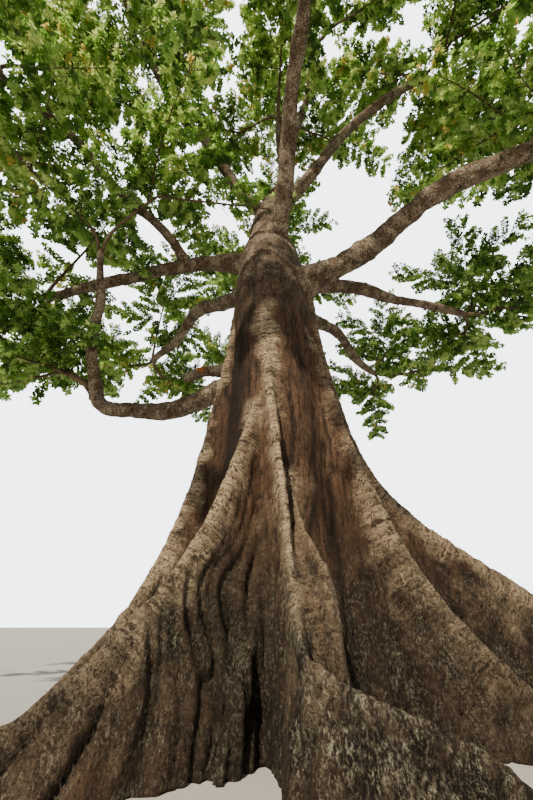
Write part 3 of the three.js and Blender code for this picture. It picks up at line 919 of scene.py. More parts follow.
def limb_relief(seed, depth):
    """A relief for a limb's skin: swellings, ridges along it and fine grain."""

    def relief(points, angles):
        turn = np.stack([np.cos(angles), np.sin(angles)], axis=1)
        grid = np.repeat(points[:, None], len(angles), axis=1)
        round_it = np.concatenate([turn, np.zeros((len(angles), 1))], axis=1)
        place = (grid + round_it[None] * 0.3).reshape(-1, 3)
        swell = layered_noise(place * 1.3, seed, layers=2) - 0.5
        lumps = layered_noise(place * 4.2, seed + 5) - 0.5
        return 1 + depth * (swell + lumps).reshape(len(points), len(angles))

    return relief


def bough_shape(entry, seed):
    """Corners and faces of a bough along its curve, rounded off at its tip."""
    curve = entry["curve"]
    count = max(int(curve.length / LIMB_STEP), 12)
    reached = np.linspace(0, curve.length, count)
    radii = limb_radii(entry, reached)
    rounding = np.sqrt(np.clip((curve.length - reached) / (TIP_ROUNDING * radii), 0.05, 1))
    relief = limb_relief(seed, LIMB_RELIEF)
    return tube(curve.at(reached / curve.length), radii * rounding, LIMB_SIDES, relief)


def make_boughs(settings):
    """Every bough but the leader and the broken stub, each as its own piece."""
    material = bough_material(settings)
    for index, (name, entry) in enumerate(place_limbs().items()):
        if name in ("leader", "broken_stub"):
            continue
        mesh = make_mesh(f"{name}_skin", *bough_shape(entry, BOUGH_SEED + BOUGH_SEED_STEP * index))
        mesh.shade_smooth()
        add_piece(f"{name}_skin", mesh, material, [name])


def make_broken_stub(settings):
    """The snapped bough: a hollowed end with a splintered rim and rot inside."""
    entry = place_limbs()["broken_stub"]
    curve = entry["curve"]
    reached = np.linspace(0, curve.length, STUB_STEPS)
    radii = limb_radii(entry, reached)
    relief = limb_relief(STUB_SEED, STUB_RELIEF)
    vertices, faces = tube(curve.at(reached / curve.length), radii, LIMB_SIDES, relief)
    direction = curve.end_direction()
    random = np.random.default_rng(SPLINTER_SEED)
    rim = slice((len(reached) - 1) * LIMB_SIDES, len(reached) * LIMB_SIDES)
    vertices[rim] += direction * (random.random(LIMB_SIDES)[:, None] * SPLINTERS - SPLINTER_START)
    vertices[-1] -= direction * STUB_HOLLOW
    mesh = make_mesh("broken_stub_skin", vertices, faces)
    add_piece("broken_stub_skin", mesh, bough_material(settings), ["broken_stub"])
    mesh.materials.append(rot_material())
    centre = len(vertices) - 1
    share, azimuth, climb = ROT_PLACE
    wound = curve.at(share) + heading(azimuth, climb) * radii[len(radii) // 2]
    for polygon in mesh.polygons:
        inside = centre in polygon.vertices
        rotten = np.linalg.norm(np.array(polygon.center) - wound) < ROT_SIZE
        polygon.material_index = int(inside or rotten)
        polygon.use_smooth = not inside


def own_space(mass, masses):
    """The middle planes to the other masses: unit directions and distances from the centre."""
    others = np.array([other["centre"] for other in masses if other is not mass]) - mass["centre"]
    distances = np.linalg.norm(others, axis=1)
    near = distances < 2 * MASS_SHAPE[0]
    return others[near] / distances[near, None], distances[near] / 2


def reach_from(points, directions, mass):
    """How far the edge of a mass's space lies from points inside it, in given directions."""
    start = (points - mass["centre"]) / MASS_SHAPE
    step = directions / MASS_SHAPE
    a = (step**2).sum(axis=-1)
    b = (start * step).sum(axis=-1)
    c = (start**2).sum(axis=-1) - 1
    reach = (np.sqrt(np.maximum(b**2 - a * c, 0)) - b) / a
    normals, halves = mass["planes"]
    if len(normals):
        room = halves - (points - mass["centre"]) @ normals.T
        speed = directions @ normals.T
        to_planes = np.where(speed > 1e-3, room / np.maximum(speed, 1e-3), 99)
        reach = np.minimum(reach, to_planes.min(axis=-1))
    return reach


def branch_starts(mass, index, random):
    """Where the branches of a mass leave its stem, and their directions."""
    turn = 360 * first_turn(index + 1)
    starts, directions = [], []
    for branch in range(BRANCHES_PER_MASS):
        share = branch / (BRANCHES_PER_MASS - 1)
        climb = blend(*BRANCH_CLIMBS, share) + (random.random() - 0.5) * CLIMB_VARIES
        starts.append(mass["stem"].at(blend(*BRANCH_SPAN, share)))
        directions.append(heading(turn + BRANCH_TURN * branch, climb))
    starts.append(mass["stem"].at(1))
    top_turn, top_climb = TOP_BRANCH
    directions.append(heading(turn + top_turn, top_climb))
    return np.array(starts), np.array(directions)


def first_turn(seed):
    """The first number of the solids' own random stream, which turns a mass's first twig."""
    state = (seed * STREAM_SPREAD + STREAM_OFFSET) % STREAM_MODULUS
    return (state * STREAM_STEP) % STREAM_MODULUS / STREAM_MODULUS


def bent_path(start, direction, length, bend, count):
    """Points along a gently bent line of count points for each start and direction."""
    shares = np.linspace(0, 1, count)[:, None]
    straight = start[:, None] + direction[:, None] * length[:, None, None] * shares
    return straight + bend[:, None] * length[:, None, None] * np.sin(np.pi * shares)


def spread_from(directions, angles, turns):
    """Directions that leave given directions by angles, turned about them, in radians."""
    helper = np.where(np.abs(directions[:, 2:]) < 0.9, UP, np.array([1.0, 0, 0]))
    side = unit(np.cross(directions, helper))
    over = np.cross(side, directions)
    aside = side * np.cos(turns)[:, None] + over * np.sin(turns)[:, None]
    return directions * np.cos(angles)[:, None] + aside * np.sin(angles)[:, None]


def grow_twigs(path, direction, length, mass, settings, random):
    """Twigs along one branch: starts, directions and lengths."""
    count = max(int(length / settings.twig_spacing), 2)
    share = (np.arange(count) + 0.8) / (count + 0.2)
    marks = np.linspace(0, 1, len(path))
    line = Curve(lambda t: np.stack([np.interp(t, marks, axis) for axis in path.T], axis=-1))
    starts = line.at(share)
    angles = np.radians(random.uniform(*TWIG_ANGLES, count)) * np.where(share > 0.97, 0.2, 1)
    turns = np.arange(count) * np.pi + random.uniform(-TWIG_TURN, TWIG_TURN, count)
    directions = spread_from(np.repeat(direction[None], count, axis=0), angles, turns)
    wanted = TWIG_LENGTH * (1 - TWIG_SHORTENING * share) * random.uniform(*TWIG_VARIES, count)
    lengths = np.minimum(wanted, reach_from(starts, directions, mass) - TWIG_INSET)
    kept = lengths > SHORTEST_TWIG
    return starts[kept], directions[kept], lengths[kept]


def grow_sprays(starts, directions, lengths, settings, random):
    """Short side shoots along twigs and at their ends: starts, directions and lengths."""
    counts = np.maximum((lengths / settings.spray_spacing).astype(int), 1)
    twig = np.repeat(np.arange(len(starts)), counts)
    order = np.concatenate([np.arange(count) for count in counts])
    share = (order + 1) / counts[twig]
    places = starts[twig] + directions[twig] * (lengths[twig] * share)[:, None]
    angles = np.where(share > 0.99, 0.15, np.radians(random.uniform(*SPRAY_ANGLES, len(twig))))
    turns = order * np.pi + random.uniform(-SPRAY_TURN, SPRAY_TURN, len(twig))
    shoots = spread_from(directions[twig], angles, turns)
    shoots = unit(shoots + UP * SPRAY_RISE)
    return places, shoots, random.uniform(*STALK_LENGTHS, len(twig))


def grow_mass(mass, index, settings):
    """All the branches, twigs and sprays of one mass of foliage."""
    random = np.random.default_rng(settings.seed * 1000 + index)
    starts, directions = branch_starts(mass, index, random)
    lengths = reach_from(starts, directions, mass) - BRANCH_INSET
    kept = lengths > SHORTEST_BRANCH
    starts, directions, lengths = starts[kept], directions[kept], lengths[kept]
    bends = random.normal(0, BRANCH_BEND, (len(starts), 3)) + UP * BRANCH_RISE
    branches = bent_path(starts, directions, lengths, bends, 6)
    grown = [
        grow_twigs(path, direction, length, mass, settings, random)
        for path, direction, length in zip(branches, directions, lengths)
    ]
    twigs = [np.concatenate(parts) for parts in zip(*grown)]
    sprays = grow_sprays(*twigs, settings, random)
    return {"branches": branches, "twigs": twigs, "sprays": sprays}


def clear_of_limbs(points, placed, room):
    """Which points keep their distance from every limb and from the trunk."""
    clear = np.ones(len(points), dtype=bool)
    for entry in placed.values():
        line = entry["curve"].at(np.linspace(0, 1, 40))
        radius = entry["limb"].radii[0]
        for place in line:
            clear &= ((points - place) ** 2).sum(axis=1) > (radius + room) ** 2
    return clear


def leaf_shapes(roots, directions, normals, lengths):
    """Corners and faces of leaves, each two halves that fold along the rib and droop at the tip."""
    across = unit(np.cross(normals, directions))
    normals = np.cross(directions, across)
    scaled = np.array(LEAF_OUTLINE) * lengths[:, None, None]
    vertices = (
        roots[:, None]
        + scaled[..., :1] * directions[:, None]
        + scaled[..., 1:2] * across[:, None]
        + scaled[..., 2:] * normals[:, None]
    )
    first = np.arange(len(roots))[:, None] * len(LEAF_OUTLINE)
    halves = np.concatenate([first + [0, 2, 1], first + [0, 3, 2]])
    return vertices.reshape(-1, 3), [halves]


def rod_shapes(paths, radii):
    """Corners and faces of thin three-sided rods along paths, each drawn to a point at its tip."""
    count, steps = paths.shape[:2]
    sides = 3
    along = unit(paths[:, -1] - paths[:, 0])
    helper = np.where(np.abs(along[:, 2:]) < 0.9, UP, np.array([1.0, 0, 0]))
    side = unit(np.cross(along, helper))
    over = np.cross(side, along)
    angles = 2 * np.pi * np.arange(sides) / sides
    ring = side[:, None] * np.cos(angles)[:, None] + over[:, None] * np.sin(angles)[:, None]
    rings = paths[:, :-1, None] + ring[:, None] * radii[:, :-1, None, None]
    vertices = np.concatenate([rings.reshape(count, -1, 3), paths[:, -1:]], axis=1)
    per_rod = vertices.shape[1]
    offset = np.arange(count)[:, None, None] * per_rod
    walls = (ring_faces(steps - 1, sides)[None] + offset).reshape(-1, 4)
    end = (steps - 2) * sides
    tips = np.array([[end + s, end + (s + 1) % sides, per_rod - 1] for s in range(sides)])
    tips = (tips[None] + offset).reshape(-1, 3)
    return vertices.reshape(-1, 3), [walls, tips] if len(walls) else [tips]


def spray_leaves(tips, shoots, settings, random):
    """Roots, directions, normals and lengths of the leaves in rosettes at the tips of shoots."""
    count = settings.leaves_per_spray
    total = len(tips) * count
    spray = np.repeat(np.arange(len(tips)), count)
    order = np.tile(np.arange(count), len(tips))
    axis = shoots[spray]
    turns = np.radians(GOLDEN_ANGLE) * order + random.uniform(0, 2 * np.pi, len(tips))[spray]
    angles = blend(*LEAF_ANGLES, (order + 0.5) / count) + random.normal(0, LEAF_SCATTER, total)
    directions = spread_from(axis, np.radians(angles), turns)
    roots = tips[spray] - axis * (order / count * ROSETTE_DEPTH)[:, None]
    normals = axis + UP * LEAF_UPTURN + random.normal(0, LEAF_TILT, (total, 3))
    growth = blend(*LEAF_GROWTH, order / count)
    lengths = settings.leaf_length * random.uniform(*LEAF_VARIES, total) * growth
    return roots, directions, normals, lengths


# Leaf tints: name, face colour, colour of the light that comes through, and share of the sprays. Their
# spread from dark to light is partly the leaves' own colour and partly painted light and shade, standing
# for sunlit and shaded leaves
Tint = namedtuple("Tint", "name face through share")
TINTS = (
    Tint("leaves_shade", "385622", "567f2e", 0.17),
    Tint("leaves_deep", "547d36", "82b04a", 0.18),
    Tint("leaves_fresh", "749e4a", "aed368", 0.18),
    Tint("leaves_bright", "91b45d", "cbe782", 0.18),
    Tint("leaves_light", "a9c66c", "e0f596", 0.16),
    Tint("leaves_young", "c0d47c", "ecf8a6", 0.1),
    Tint("leaves_turning", "c5b159", "e9d26e", 0.03),
)


# How far a spray's tint follows its region of the crown, its height and chance, and how many waves
# of the regions there are in a metre
TINT_REGION = 0.4
TINT_HEIGHT = 0.12
TINT_CHANCE = 0.55
TINT_WAVES = 0.45


def deal_tints(tips, settings):
    """A tint number for each spray: neighbours are alike, and higher sprays are lighter."""
    random = np.random.default_rng(settings.seed + 90)
    height = (tips[:, 2] - tips[:, 2].min()) / np.ptp(tips[:, 2])
    regions = layered_noise(tips * TINT_WAVES, seed=71, layers=2)
    mood = TINT_REGION * regions + TINT_HEIGHT * height + TINT_CHANCE * random.random(len(tips))
    order = np.argsort(np.argsort(mood)) / len(tips)
    limits = np.cumsum([tint.share for tint in TINTS])
    return np.searchsorted(limits[:-1], order)


def make_crown(settings):
    """Stems, branches, twigs and leaves of every mass of foliage, in one piece for each kind."""
    placed = place_limbs()
    masses = place_masses(placed)
    for mass in masses:
        mass["planes"] = own_space(mass, masses)
    grown = [grow_mass(mass, index, settings) for index, mass in enumerate(masses)]
    nodes = [mass["node"] for mass in masses]
    make_stems(masses, placed, grown, nodes)
    sprays = zip(*(mass["sprays"] for mass in grown))
    places, shoots, lengths = (np.concatenate(part) for part in sprays)
    leafy = layered_noise(places * GAP_WAVES, seed=81, layers=2) > GAP_SHARE
    tips = places + shoots * lengths[:, None]
    low, high = np.array(CAD_BOX)
    within = ((tips > low - OVERHANG) & (tips < high + OVERHANG)).all(axis=1)
    kept = leafy & within & clear_of_limbs(places, placed, LIMB_ROOM)
    make_twigs(grown, (places[kept], shoots[kept], lengths[kept]), nodes)
    make_leaves(tips[kept], shoots[kept], nodes, settings)


def make_stems(masses, placed, grown, nodes):
    """The stems that fork from the boughs' tips, and the branches on them."""
    parts = []
    for mass in masses:
        entry = placed[mass["limb"]]
        fork = entry["curve"].at(1 - STEM_SUNK / entry["curve"].length)
        points = np.concatenate([[fork], mass["stem"].at(np.linspace(0.02, 1, 16))])
        foot = LONE_STEM if entry["limb"].masses == "single" else FORKED_STEM
        base = entry["limb"].radii[1] * foot
        radii = blend(base, STEM_TIP, np.linspace(0, 1, len(points)) ** 0.6)
        parts.append(tube(points, radii, 8))
    branches = np.concatenate([mass["branches"] for mass in grown])
    size = np.linalg.norm(branches[:, -1] - branches[:, 0], axis=1)
    thickness = BRANCH_RADIUS[0] + BRANCH_RADIUS[1] * size
    radii = np.linspace(1, BRANCH_TAPER, branches.shape[1])[None] * thickness[:, None]
    parts.append(rod_shapes(branches, radii))
    mesh = make_mesh("stems", *joined(parts))
    mesh.shade_smooth()
    add_piece("stems", mesh, twig_material(), nodes)


def make_twigs(grown, sprays, nodes):
    """All twigs and the shoots that carry the leaves."""
    twigs = zip(*(mass["twigs"] for mass in grown))
    starts, directions, lengths = (np.concatenate(part) for part in twigs)
    bends = np.random.default_rng(TWIG_BEND_SEED).normal(0, TWIG_BEND, (len(starts), 3))
    paths = bent_path(starts, directions, lengths, bends, 3)
    thickness = TWIG_RADIUS[0] + TWIG_RADIUS[1] * lengths
    radii = np.linspace(1, TWIG_TAPER, paths.shape[1])[None] * thickness[:, None]
    places, shoots, reach = sprays
    stalks = np.stack([places, places + shoots * reach[:, None]], axis=1)
    stalk_radii = np.tile(STALK_RADII, (len(stalks), 1))
    rods = [rod_shapes(paths, radii), rod_shapes(stalks, stalk_radii)]
    mesh = make_mesh("twigs", *joined(rods))
    add_piece("twigs", mesh, twig_material(), nodes)


def make_leaves(tips, shoots, nodes, settings):
    """The leaves, in one piece for each tint."""
    tints = deal_tints(tips, settings)
    for number, tint in enumerate(TINTS):
        own = tints == number
        random = np.random.default_rng(settings.seed * 10 + number)
        leaves = spray_leaves(tips[own], shoots[own], settings, random)
        mesh = make_mesh(tint.name, *leaf_shapes(*leaves))
        add_piece(tint.name, mesh, leaf_material(tint), nodes)


def add_node(tree, kind, inputs, output=0, **settings):
    """A new node's output: its inputs are values or links, by name or in order."""
    node = tree.nodes.new(kind)
    for name, value in settings.items():
        setattr(node, name, value)
    for name, value in inputs.items() if isinstance(inputs, dict) else enumerate(inputs):
        socket = node.inputs[name]
        if isinstance(value, bpy.types.NodeSocket):
            tree.links.new(value, socket)
        else:
            socket.default_value = value
    return node.outputs[output]


def new_material(name):
    """A material with an empty node tree, and its coordinates in metres."""
    material = bpy.data.materials.new(name)
    material.use_nodes = True
    tree = material.node_tree
    tree.nodes.clear()
    return material, tree, add_node(tree, "ShaderNodeTexCoord", (), "Object")


def finish_material(tree, shader):
    """Links a shader to the output of its material."""
    output = tree.nodes.new("ShaderNodeOutputMaterial")
    tree.links.new(shader, output.inputs["Surface"])


# Patterns on bark and wood: width in millimetres, how many times longer than wide they stand, and
# how many finer layers they have and how strong those are
Pattern = namedtuple("Pattern", "width length detail roughness")
STREAKS = Pattern(80, 5, 6, 0.75)
SCALES = Pattern(30, 2, 4, 0.7)
PATCHES = Pattern(670, 1, 5, 0.65)
FINE_GRAIN = Pattern(24, 1, 6, 0.7)
CRUMPLES = Pattern(330, 1, 3, 0.6)
WRINKLES = Pattern(66, 1, 4, 0.75)
BANDS = Pattern(200, 1, 2, 0.5)
LICHEN = Pattern(250, 1.4, 5, 0.7)
LICHEN_FLAKES = Pattern(38, 1.7, 8, 0.88)
SPECKS = Pattern(23, 1, 3, 0.7)
SPECKED_PLACES = Pattern(830, 1, 3, 0.6)
BOUGH_FURROWS = Pattern(110, 1, 6, 0.7)
BOUGH_PATCHES = Pattern(450, 1, 4, 0.6)
BOUGH_FLECKS = Pattern(48, 1.7, 7, 0.8)
BOUGH_GRAIN = Pattern(26, 1, 5, 0.7)
ROT_CRUMBS = Pattern(45, 1, 5, 0.7)
TWIG_PATCHES = Pattern(330, 1, 3, 0.6)
RANGE = "ShaderNodeMapRange"
MATHS = "ShaderNodeMath"

# Heights between which the trunk's bark turns into that of the boughs, over which it gets darker
# toward the ground, over which the painted shade in hollows fades, and over which the crests grow paler
# upward
BOUGH_BARK = (8.6, 11.6)
DARK_FOOT = (3.4, 1.6)
HOLLOW_SHADE_FADES = (3.0, 4.5)
CREST_PALING_HEIGHTS = (0.5, 2.0)

# Share of light that dry bark and wood reflect without colour, on the scale of the shader
DULL = 0.2


def grain(tree, place, pattern):
    """A value that wanders between 0 and 1 over a pattern's width."""
    longer = {"Vector": place, "Scale": (1, 1, 1 / pattern.length)}
    drawn = add_node(tree, "ShaderNodeMapping", longer)
    inputs = {
        "Vector": drawn,
        "Scale": 1000 / pattern.width,
        "Detail": pattern.detail,
        "Roughness": pattern.roughness,
    }
    return add_node(tree, "ShaderNodeTexNoise", inputs, "Fac")


def laid_over(tree, base, *layers):
    """A colour with other colours laid over it in turn, each by its own factor."""
    for factor, colour in layers:
        base = add_node(tree, "ShaderNodeMix", {0: factor, 6: base, 7: colour}, 2, data_type="RGBA")
    return base


def wood_shader(tree, colour, roughness, bumps=None, depth=0.03, strength=0.8):
    """Dull dry wood or bark, which reflects little, with bumps of a depth in metres."""
    inputs = {"Base Color": colour, "Roughness": roughness, "Specular IOR Level": DULL}
    if bumps is not None:
        relief = {"Height": bumps, "Strength": strength, "Distance": depth}
        inputs["Normal"] = add_node(tree, "ShaderNodeBump", relief)
    finish_material(tree, add_node(tree, "ShaderNodeBsdfPrincipled", inputs))


def bark_material(settings):
    """Old folded bark: brown flanks, darker damp bark, painted shade in hollows, grooves and recesses,
    pale worn crests that are in part a painted highlight, and grey lichen low down.
    """
    material, tree, place = new_material("old_bark")
    height = add_node(tree, "ShaderNodeSeparateXYZ", (place,), "Z")
    kind = "ShaderNodeAttribute"
    traits = {name: add_node(tree, kind, (), "Fac", attribute_name=name) for name in BARK_TRAITS}
    streaks, scales, patches = (grain(tree, place, pattern) for pattern in (STREAKS, SCALES, PATCHES))
    uneven = add_node(tree, RANGE, (patches, 0.3, 0.7, -0.22, 0.22))
    ragged = add_node(tree, MATHS, (traits["from_crest"], uneven), operation="ADD")
    base = laid_over(
        tree,
        linear("35251a"),
        (add_node(tree, RANGE, (streaks, 0.38, 0.62)), tuple(settings.bark_colour)),
        (add_node(tree, RANGE, (scales, 0.5, 0.66, 0, 0.75)), linear("1f150e")),
        # darker away from the crests: partly darker bark in the recesses, partly painted shade there
        (add_node(tree, RANGE, (ragged, 0.5, 1.5, 0, 0.65)), linear("23170f")),
        # painted shade: the bark is darkened in the grooves between the folds
        (add_node(tree, RANGE, (traits["folds"], 0.65, 0.2, 0, 0.85)), linear("120c08")),
        # painted shade: the bark is darkened in hollows of the skin
        (painted_hollow_shade(tree, traits, height), linear("110b07")),
        (add_node(tree, RANGE, (height, *BOUGH_BARK, 0, 0.8)), bough_colour(tree, place, settings)),
        # damp bark and painted shade, darkened in uneven patches
        (damp_and_shade_part(tree, traits, patches), linear("180e07")),
        (add_node(tree, RANGE, (height, *DARK_FOOT, 0, 0.5)), linear("120c08")),
        # pale crests: worn bark, and in part a painted highlight
        (worn_and_highlight_part(tree, traits, ragged, height), crest_colour(tree, place, traits, settings)),
        (flaky_part(tree, traits, patches), lichen_colour(tree, place, settings)),
        (specked_part(tree, place), linear("100b07")),
    )
    rough_streaks = add_node(tree, MATHS, (streaks, 0.9), operation="MULTIPLY")
    fine = grain(tree, place, FINE_GRAIN)
    bumps = add_node(tree, MATHS, (fine, 0.8, rough_streaks), operation="MULTIPLY_ADD")
    wood_shader(tree, base, 0.88, add_node(tree, MATHS, (bumps, scales), operation="SUBTRACT"))
    return material


def painted_hollow_shade(tree, traits, height):
    """How dark painted shade makes the bark in hollows, which is less so high up."""
    hollow = add_node(tree, RANGE, (traits["hollowness"], 0, 0.1, 0, 0.5))
    high = add_node(tree, RANGE, (height, *HOLLOW_SHADE_FADES, 1, 0.2))
    return add_node(tree, MATHS, (hollow, high), operation="MULTIPLY")


def damp_and_shade_part(tree, traits, patches):
    """How dark the bark is painted where it is damp and where shade is painted, in uneven patches."""
    uneven = add_node(tree, RANGE, (patches, 0.3, 0.5, 0.7, 0.95))
    return add_node(tree, MATHS, (traits["damp"], uneven), operation="MULTIPLY")


def worn_and_highlight_part(tree, traits, ragged, height):
    """How pale the bark is on the crests, with a ragged edge and less so near the ground: worn bark, and
    in part a painted highlight of sun on the crests.
    """
    near_crest = add_node(tree, RANGE, (ragged, 0.36, 0.08, 0, 0.9))
    above_ground = add_node(tree, RANGE, (height, *CREST_PALING_HEIGHTS, 0.3, 1))
    worn = add_node(tree, MATHS, (traits["worn"], above_ground), operation="MULTIPLY")
    return add_node(tree, MATHS, (near_crest, worn), operation="MULTIPLY")


def flaky_part(tree, traits, patches):
    """How far lichen covers the bark, in uneven patches."""
    uneven = add_node(tree, RANGE, (patches, 0.35, 0.6, 0.35, 1))
    return add_node(tree, MATHS, (traits["flaky"], uneven), operation="MULTIPLY")


def specked_part(tree, place):
    """Where dark pits sit in the bark."""
    specks = add_node(tree, RANGE, (grain(tree, place, SPECKS), 0.54, 0.62, 0, 0.85))
    places = add_node(tree, RANGE, (grain(tree, place, SPECKED_PLACES), 0.4, 0.56))
    return add_node(tree, MATHS, (specks, places), operation="MULTIPLY")


def crest_colour(tree, place, traits, settings):
    """Pale worn bark of the crests, paler in part as a painted highlight, with fine wrinkles and broken
    dark cracks across them.
    """
    crumples = grain(tree, place, CRUMPLES)
    line = add_node(tree, MATHS, (crumples, 0.3, traits["along"]), operation="MULTIPLY_ADD")
    across = add_node(tree, "ShaderNodeCombineXYZ", (line, crumples, 0))
    wrinkles = add_node(tree, RANGE, (grain(tree, across, WRINKLES), 0.4, 0.6))
    beside = add_node(tree, MATHS, (grain(tree, across, BANDS), 0.5), operation="SUBTRACT")
    from_crack = add_node(tree, MATHS, (beside,), operation="ABSOLUTE")
    cracks = add_node(tree, RANGE, (from_crack, 0.05, 0.015, 0, 0.9))
    broken = add_node(tree, RANGE, (grain(tree, place, BANDS), 0.4, 0.55))
    dark = add_node(tree, MATHS, (cracks, broken), operation="MULTIPLY")
    pale = (wrinkles, tuple(settings.crest_colour))
    return laid_over(tree, linear("5f4a39"), pale, (dark, linear("261a12")))


def lichen_colour(tree, place, settings):
    """Upright grey flakes of lichen on dark bark, as low on the trunk and on its root."""
    flakes = grain(tree, place, LICHEN_FLAKES)
    brown = (add_node(tree, RANGE, (flakes, 0.48, 0.6)), linear("3e3328"))
    grey = (add_node(tree, RANGE, (flakes, 0.5, 0.6)), tuple(settings.lichen_colour))
    bare = laid_over(tree, linear("0d0905"), brown)
    grown = laid_over(tree, linear("130e09"), grey)
    thick = add_node(tree, RANGE, (grain(tree, place, LICHEN), 0.38, 0.64))
    return laid_over(tree, bare, (thick, grown))


def bough_colour(tree, place, settings):
    """Grey-brown bark with dark furrows, pale worn patches and flecks of lichen."""
    furrows, patches, flecks = (
        grain(tree, place, pattern) for pattern in (BOUGH_FURROWS, BOUGH_PATCHES, BOUGH_FLECKS)
    )
    fine = add_node(tree, RANGE, (flecks, 0.49, 0.56))
    uneven = add_node(tree, RANGE, (patches, 0.4, 0.6, 0.15, 0.9))
    return laid_over(
        tree,
        linear("281e17"),
        (add_node(tree, RANGE, (furrows, 0.38, 0.62)), tuple(settings.bough_colour)),
        (add_node(tree, RANGE, (patches, 0.48, 0.66, 0, 0.6)), linear("85735f")),
        (add_node(tree, MATHS, (fine, uneven), operation="MULTIPLY"), linear("ada18e")),
    )


def bough_material(settings):
    """Rough dry bark of the boughs, which looks furrowed and dull."""
    material, tree, place = new_material("bough_bark")
    furrows, fine = grain(tree, place, BOUGH_FURROWS), grain(tree, place, BOUGH_GRAIN)
    bumps = add_node(tree, MATHS, (fine, 0.5, furrows), operation="MULTIPLY_ADD")
    wood_shader(tree, bough_colour(tree, place, settings), 0.9, bumps, strength=0.7)
    return material


def rot_material():
    """Rotten heartwood, which looks orange-brown, soft and crumbly."""
    material, tree, place = new_material("rotten_wood")
    crumbs = grain(tree, place, ROT_CRUMBS)
    light = (add_node(tree, RANGE, (crumbs, 0.35, 0.65)), linear("b06a35"))
    wood_shader(tree, laid_over(tree, linear("4a2612"), light), 0.95, crumbs, strength=0.9)
    return material


def twig_material():
    """Thin smooth bark of twigs, which looks dull brown and a little lighter in places."""
    material, tree, place = new_material("twig_bark")
    light = (add_node(tree, RANGE, (grain(tree, place, TWIG_PATCHES), 0.35, 0.65)), linear("75634f"))
    wood_shader(tree, laid_over(tree, linear("40342a"), light), 0.85)
    return material


def leaf_material(tint):
    """A waxy leaf, which shines a little and lets yellow-green light through from behind."""
    material, tree, _ = new_material(tint.name)
    inputs = {"Base Color": linear(tint.face), "Roughness": 0.42, "Specular IOR Level": 0.5}
    face = add_node(tree, "ShaderNodeBsdfPrincipled", inputs)
    through = add_node(tree, "ShaderNodeBsdfTranslucent", {"Color": linear(tint.through)})
    finish_material(tree, add_node(tree, "ShaderNodeMixShader", (0.5, face, through)))
    return material


# Camera: the photograph's eye, how far it looks up in degrees, its lens in millimetres, and how far
# it sees
EYE = (-0.25, -8.0, 1.5)
EYE_PITCH = 32.4
LENS = 16
SIGHT = 1200

# Light: where the sun stands and how wide it is in degrees, its power and colour, how much light the
# sky gives, and how bright it looks itself
SUN_DIRECTION = (246, 50)
SUN_WIDTH = 1
SUN_POWER = 6.4
SUN_COLOUR = "fff1d8"
SUN_DISTANCE = 60
SUN_AIM = (0, 0, 8)
SKY_COLOUR = "f4f7fb"
SKY_LIGHT = 0.68
SKY_SEEN = 5.0

# Floor: half its size and the slight shades of its grey
FLOOR_HALF = 400
FLOOR_SHADES = Pattern(1700, 1, 3, 0.5)


def make_floor():
    """A plain pale floor, matt and even."""
    material, tree, place = new_material("plain_floor")
    shades = add_node(tree, RANGE, (grain(tree, place, FLOOR_SHADES), 0, 1))
    base = laid_over(tree, linear("a9a8a3"), (shades, linear("b7b6b0")))
    inputs = {"Base Color": base, "Roughness": 0.8}
    finish_material(tree, add_node(tree, "ShaderNodeBsdfPrincipled", inputs))
    corners = np.array([[-1, -1, 0], [1, -1, 0], [1, 1, 0], [-1, 1, 0]]) * float(FLOOR_HALF)
    mesh = make_mesh("floor", corners, [np.array([[0, 1, 2, 3]])])
    mesh.materials.append(material)
    floor = bpy.data.objects.new("floor", mesh)
    bpy.context.scene.collection.objects.link(floor)


def make_sun():
    """The sun, which casts the tree's own shade."""
    light = bpy.data.lights.new("sun", "SUN")
    light.energy = SUN_POWER
    light.color = linear(SUN_COLOUR)[:3]
    light.angle = math.radians(SUN_WIDTH)
    sun = bpy.data.objects.new("sun", light)
    place = heading(*SUN_DIRECTION) * SUN_DISTANCE
    toward = np.array(SUN_AIM) - place
    azimuth = math.atan2(toward[1], toward[0])
    climb = math.atan2(toward[2], math.hypot(toward[0], toward[1]))
    sun.location = tuple(place)
    sun.rotation_euler = (climb + math.pi / 2, 0, azimuth - math.pi / 2)
    bpy.context.scene.collection.objects.link(sun)


def make_sky():
    """A pale even world, which looks brighter than the light that it gives."""
    world = bpy.data.worlds.new("pale_sky")
    world.use_nodes = True
    tree = world.node_tree
    background = tree.nodes["Background"]
    background.inputs["Color"].default_value = linear(SKY_COLOUR)
    seen = add_node(tree, "ShaderNodeLightPath", (), "Is Camera Ray")
    strength = add_node(tree, RANGE, (seen, 0, 1, SKY_LIGHT, SKY_SEEN))
    tree.links.new(strength, background.inputs["Strength"])
    bpy.context.scene.world = world


def make_camera():
    """The camera, at the photograph's eye and viewing angle."""
    camera = bpy.data.objects.new("camera", bpy.data.cameras.new("camera"))
    camera.data.lens = LENS
    camera.data.clip_end = SIGHT
    camera.location = EYE
    camera.rotation_euler = (math.radians(90 + EYE_PITCH), 0, 0)
    bpy.context.scene.collection.objects.link(camera)
    bpy.context.scene.camera = camera


def make_stage():
    """Floor, sun, a pale world and the photograph's camera."""
    make_floor()
    make_sky()
    make_sun()
    make_camera()


class TREE_OT_trunk(bpy.types.Operator):
    """Make the trunk, its buttresses and the leader"""

    bl_idname = "tree.trunk"
    bl_label = "Trunk"

    def execute(self, context):
        make_trunk(context.scene.tree_settings)
        return {"FINISHED"}


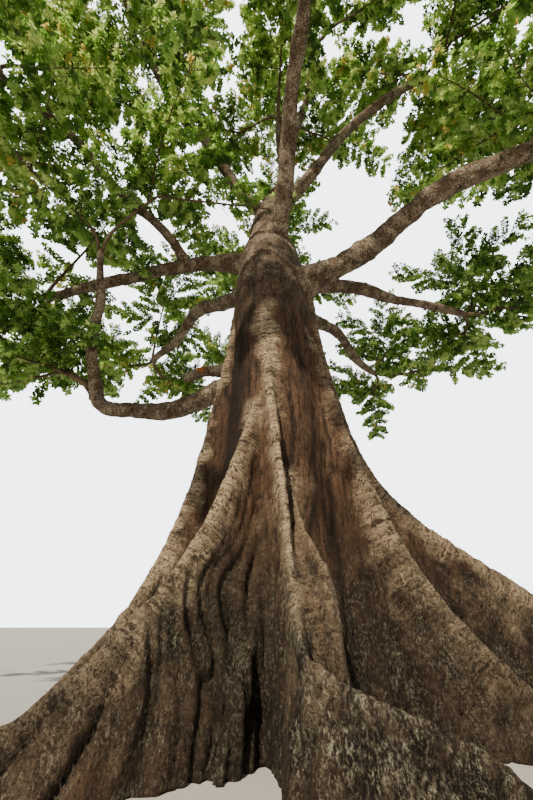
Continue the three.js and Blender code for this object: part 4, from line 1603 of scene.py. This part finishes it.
class TREE_OT_boughs(bpy.types.Operator):
    """Make the boughs"""

    bl_idname = "tree.boughs"
    bl_label = "Boughs"

    def execute(self, context):
        make_boughs(context.scene.tree_settings)
        return {"FINISHED"}


class TREE_OT_broken_stub(bpy.types.Operator):
    """Make the broken stub"""

    bl_idname = "tree.broken_stub"
    bl_label = "Broken stub"

    def execute(self, context):
        make_broken_stub(context.scene.tree_settings)
        return {"FINISHED"}


class TREE_OT_crown(bpy.types.Operator):
    """Grow the stems, twigs and leaves of the crown"""

    bl_idname = "tree.crown"
    bl_label = "Crown"

    def execute(self, context):
        make_crown(context.scene.tree_settings)
        return {"FINISHED"}


class TREE_OT_stage(bpy.types.Operator):
    """Set the floor, the lights and the camera"""

    bl_idname = "tree.stage"
    bl_label = "Stage"

    def execute(self, context):
        make_stage()
        return {"FINISHED"}


OPERATORS = (TREE_OT_trunk, TREE_OT_boughs, TREE_OT_broken_stub, TREE_OT_crown, TREE_OT_stage)


class TREE_PT_panel(bpy.types.Panel):
    """Settings and steps of the tree, in the 3D view's sidebar"""

    bl_label = "Buttressed Tree"
    bl_idname = "TREE_PT_panel"
    bl_space_type = "VIEW_3D"
    bl_region_type = "UI"
    bl_category = "Tree"

    def draw(self, context):
        settings = context.scene.tree_settings
        for name in settings.bl_rna.properties.keys():
            if name not in ("rna_type", "name"):
                self.layout.prop(settings, name)
        for operator in OPERATORS:
            self.layout.operator(operator.bl_idname)


CLASSES = (TreeSettings, *OPERATORS, TREE_PT_panel)


def register():
    """Registers the settings, the operators and the panel."""
    for item in CLASSES:
        bpy.utils.register_class(item)
    bpy.types.Scene.tree_settings = PointerProperty(type=TreeSettings)


def unregister():
    """Removes what register added."""
    del bpy.types.Scene.tree_settings
    for item in reversed(CLASSES):
        bpy.utils.unregister_class(item)


def main():
    """Builds the whole scene."""
    register()
    bpy.ops.tree.stage()
    bpy.ops.tree.trunk()
    bpy.ops.tree.boughs()
    bpy.ops.tree.broken_stub()
    bpy.ops.tree.crown()


if __name__ == "__main__":
    main()
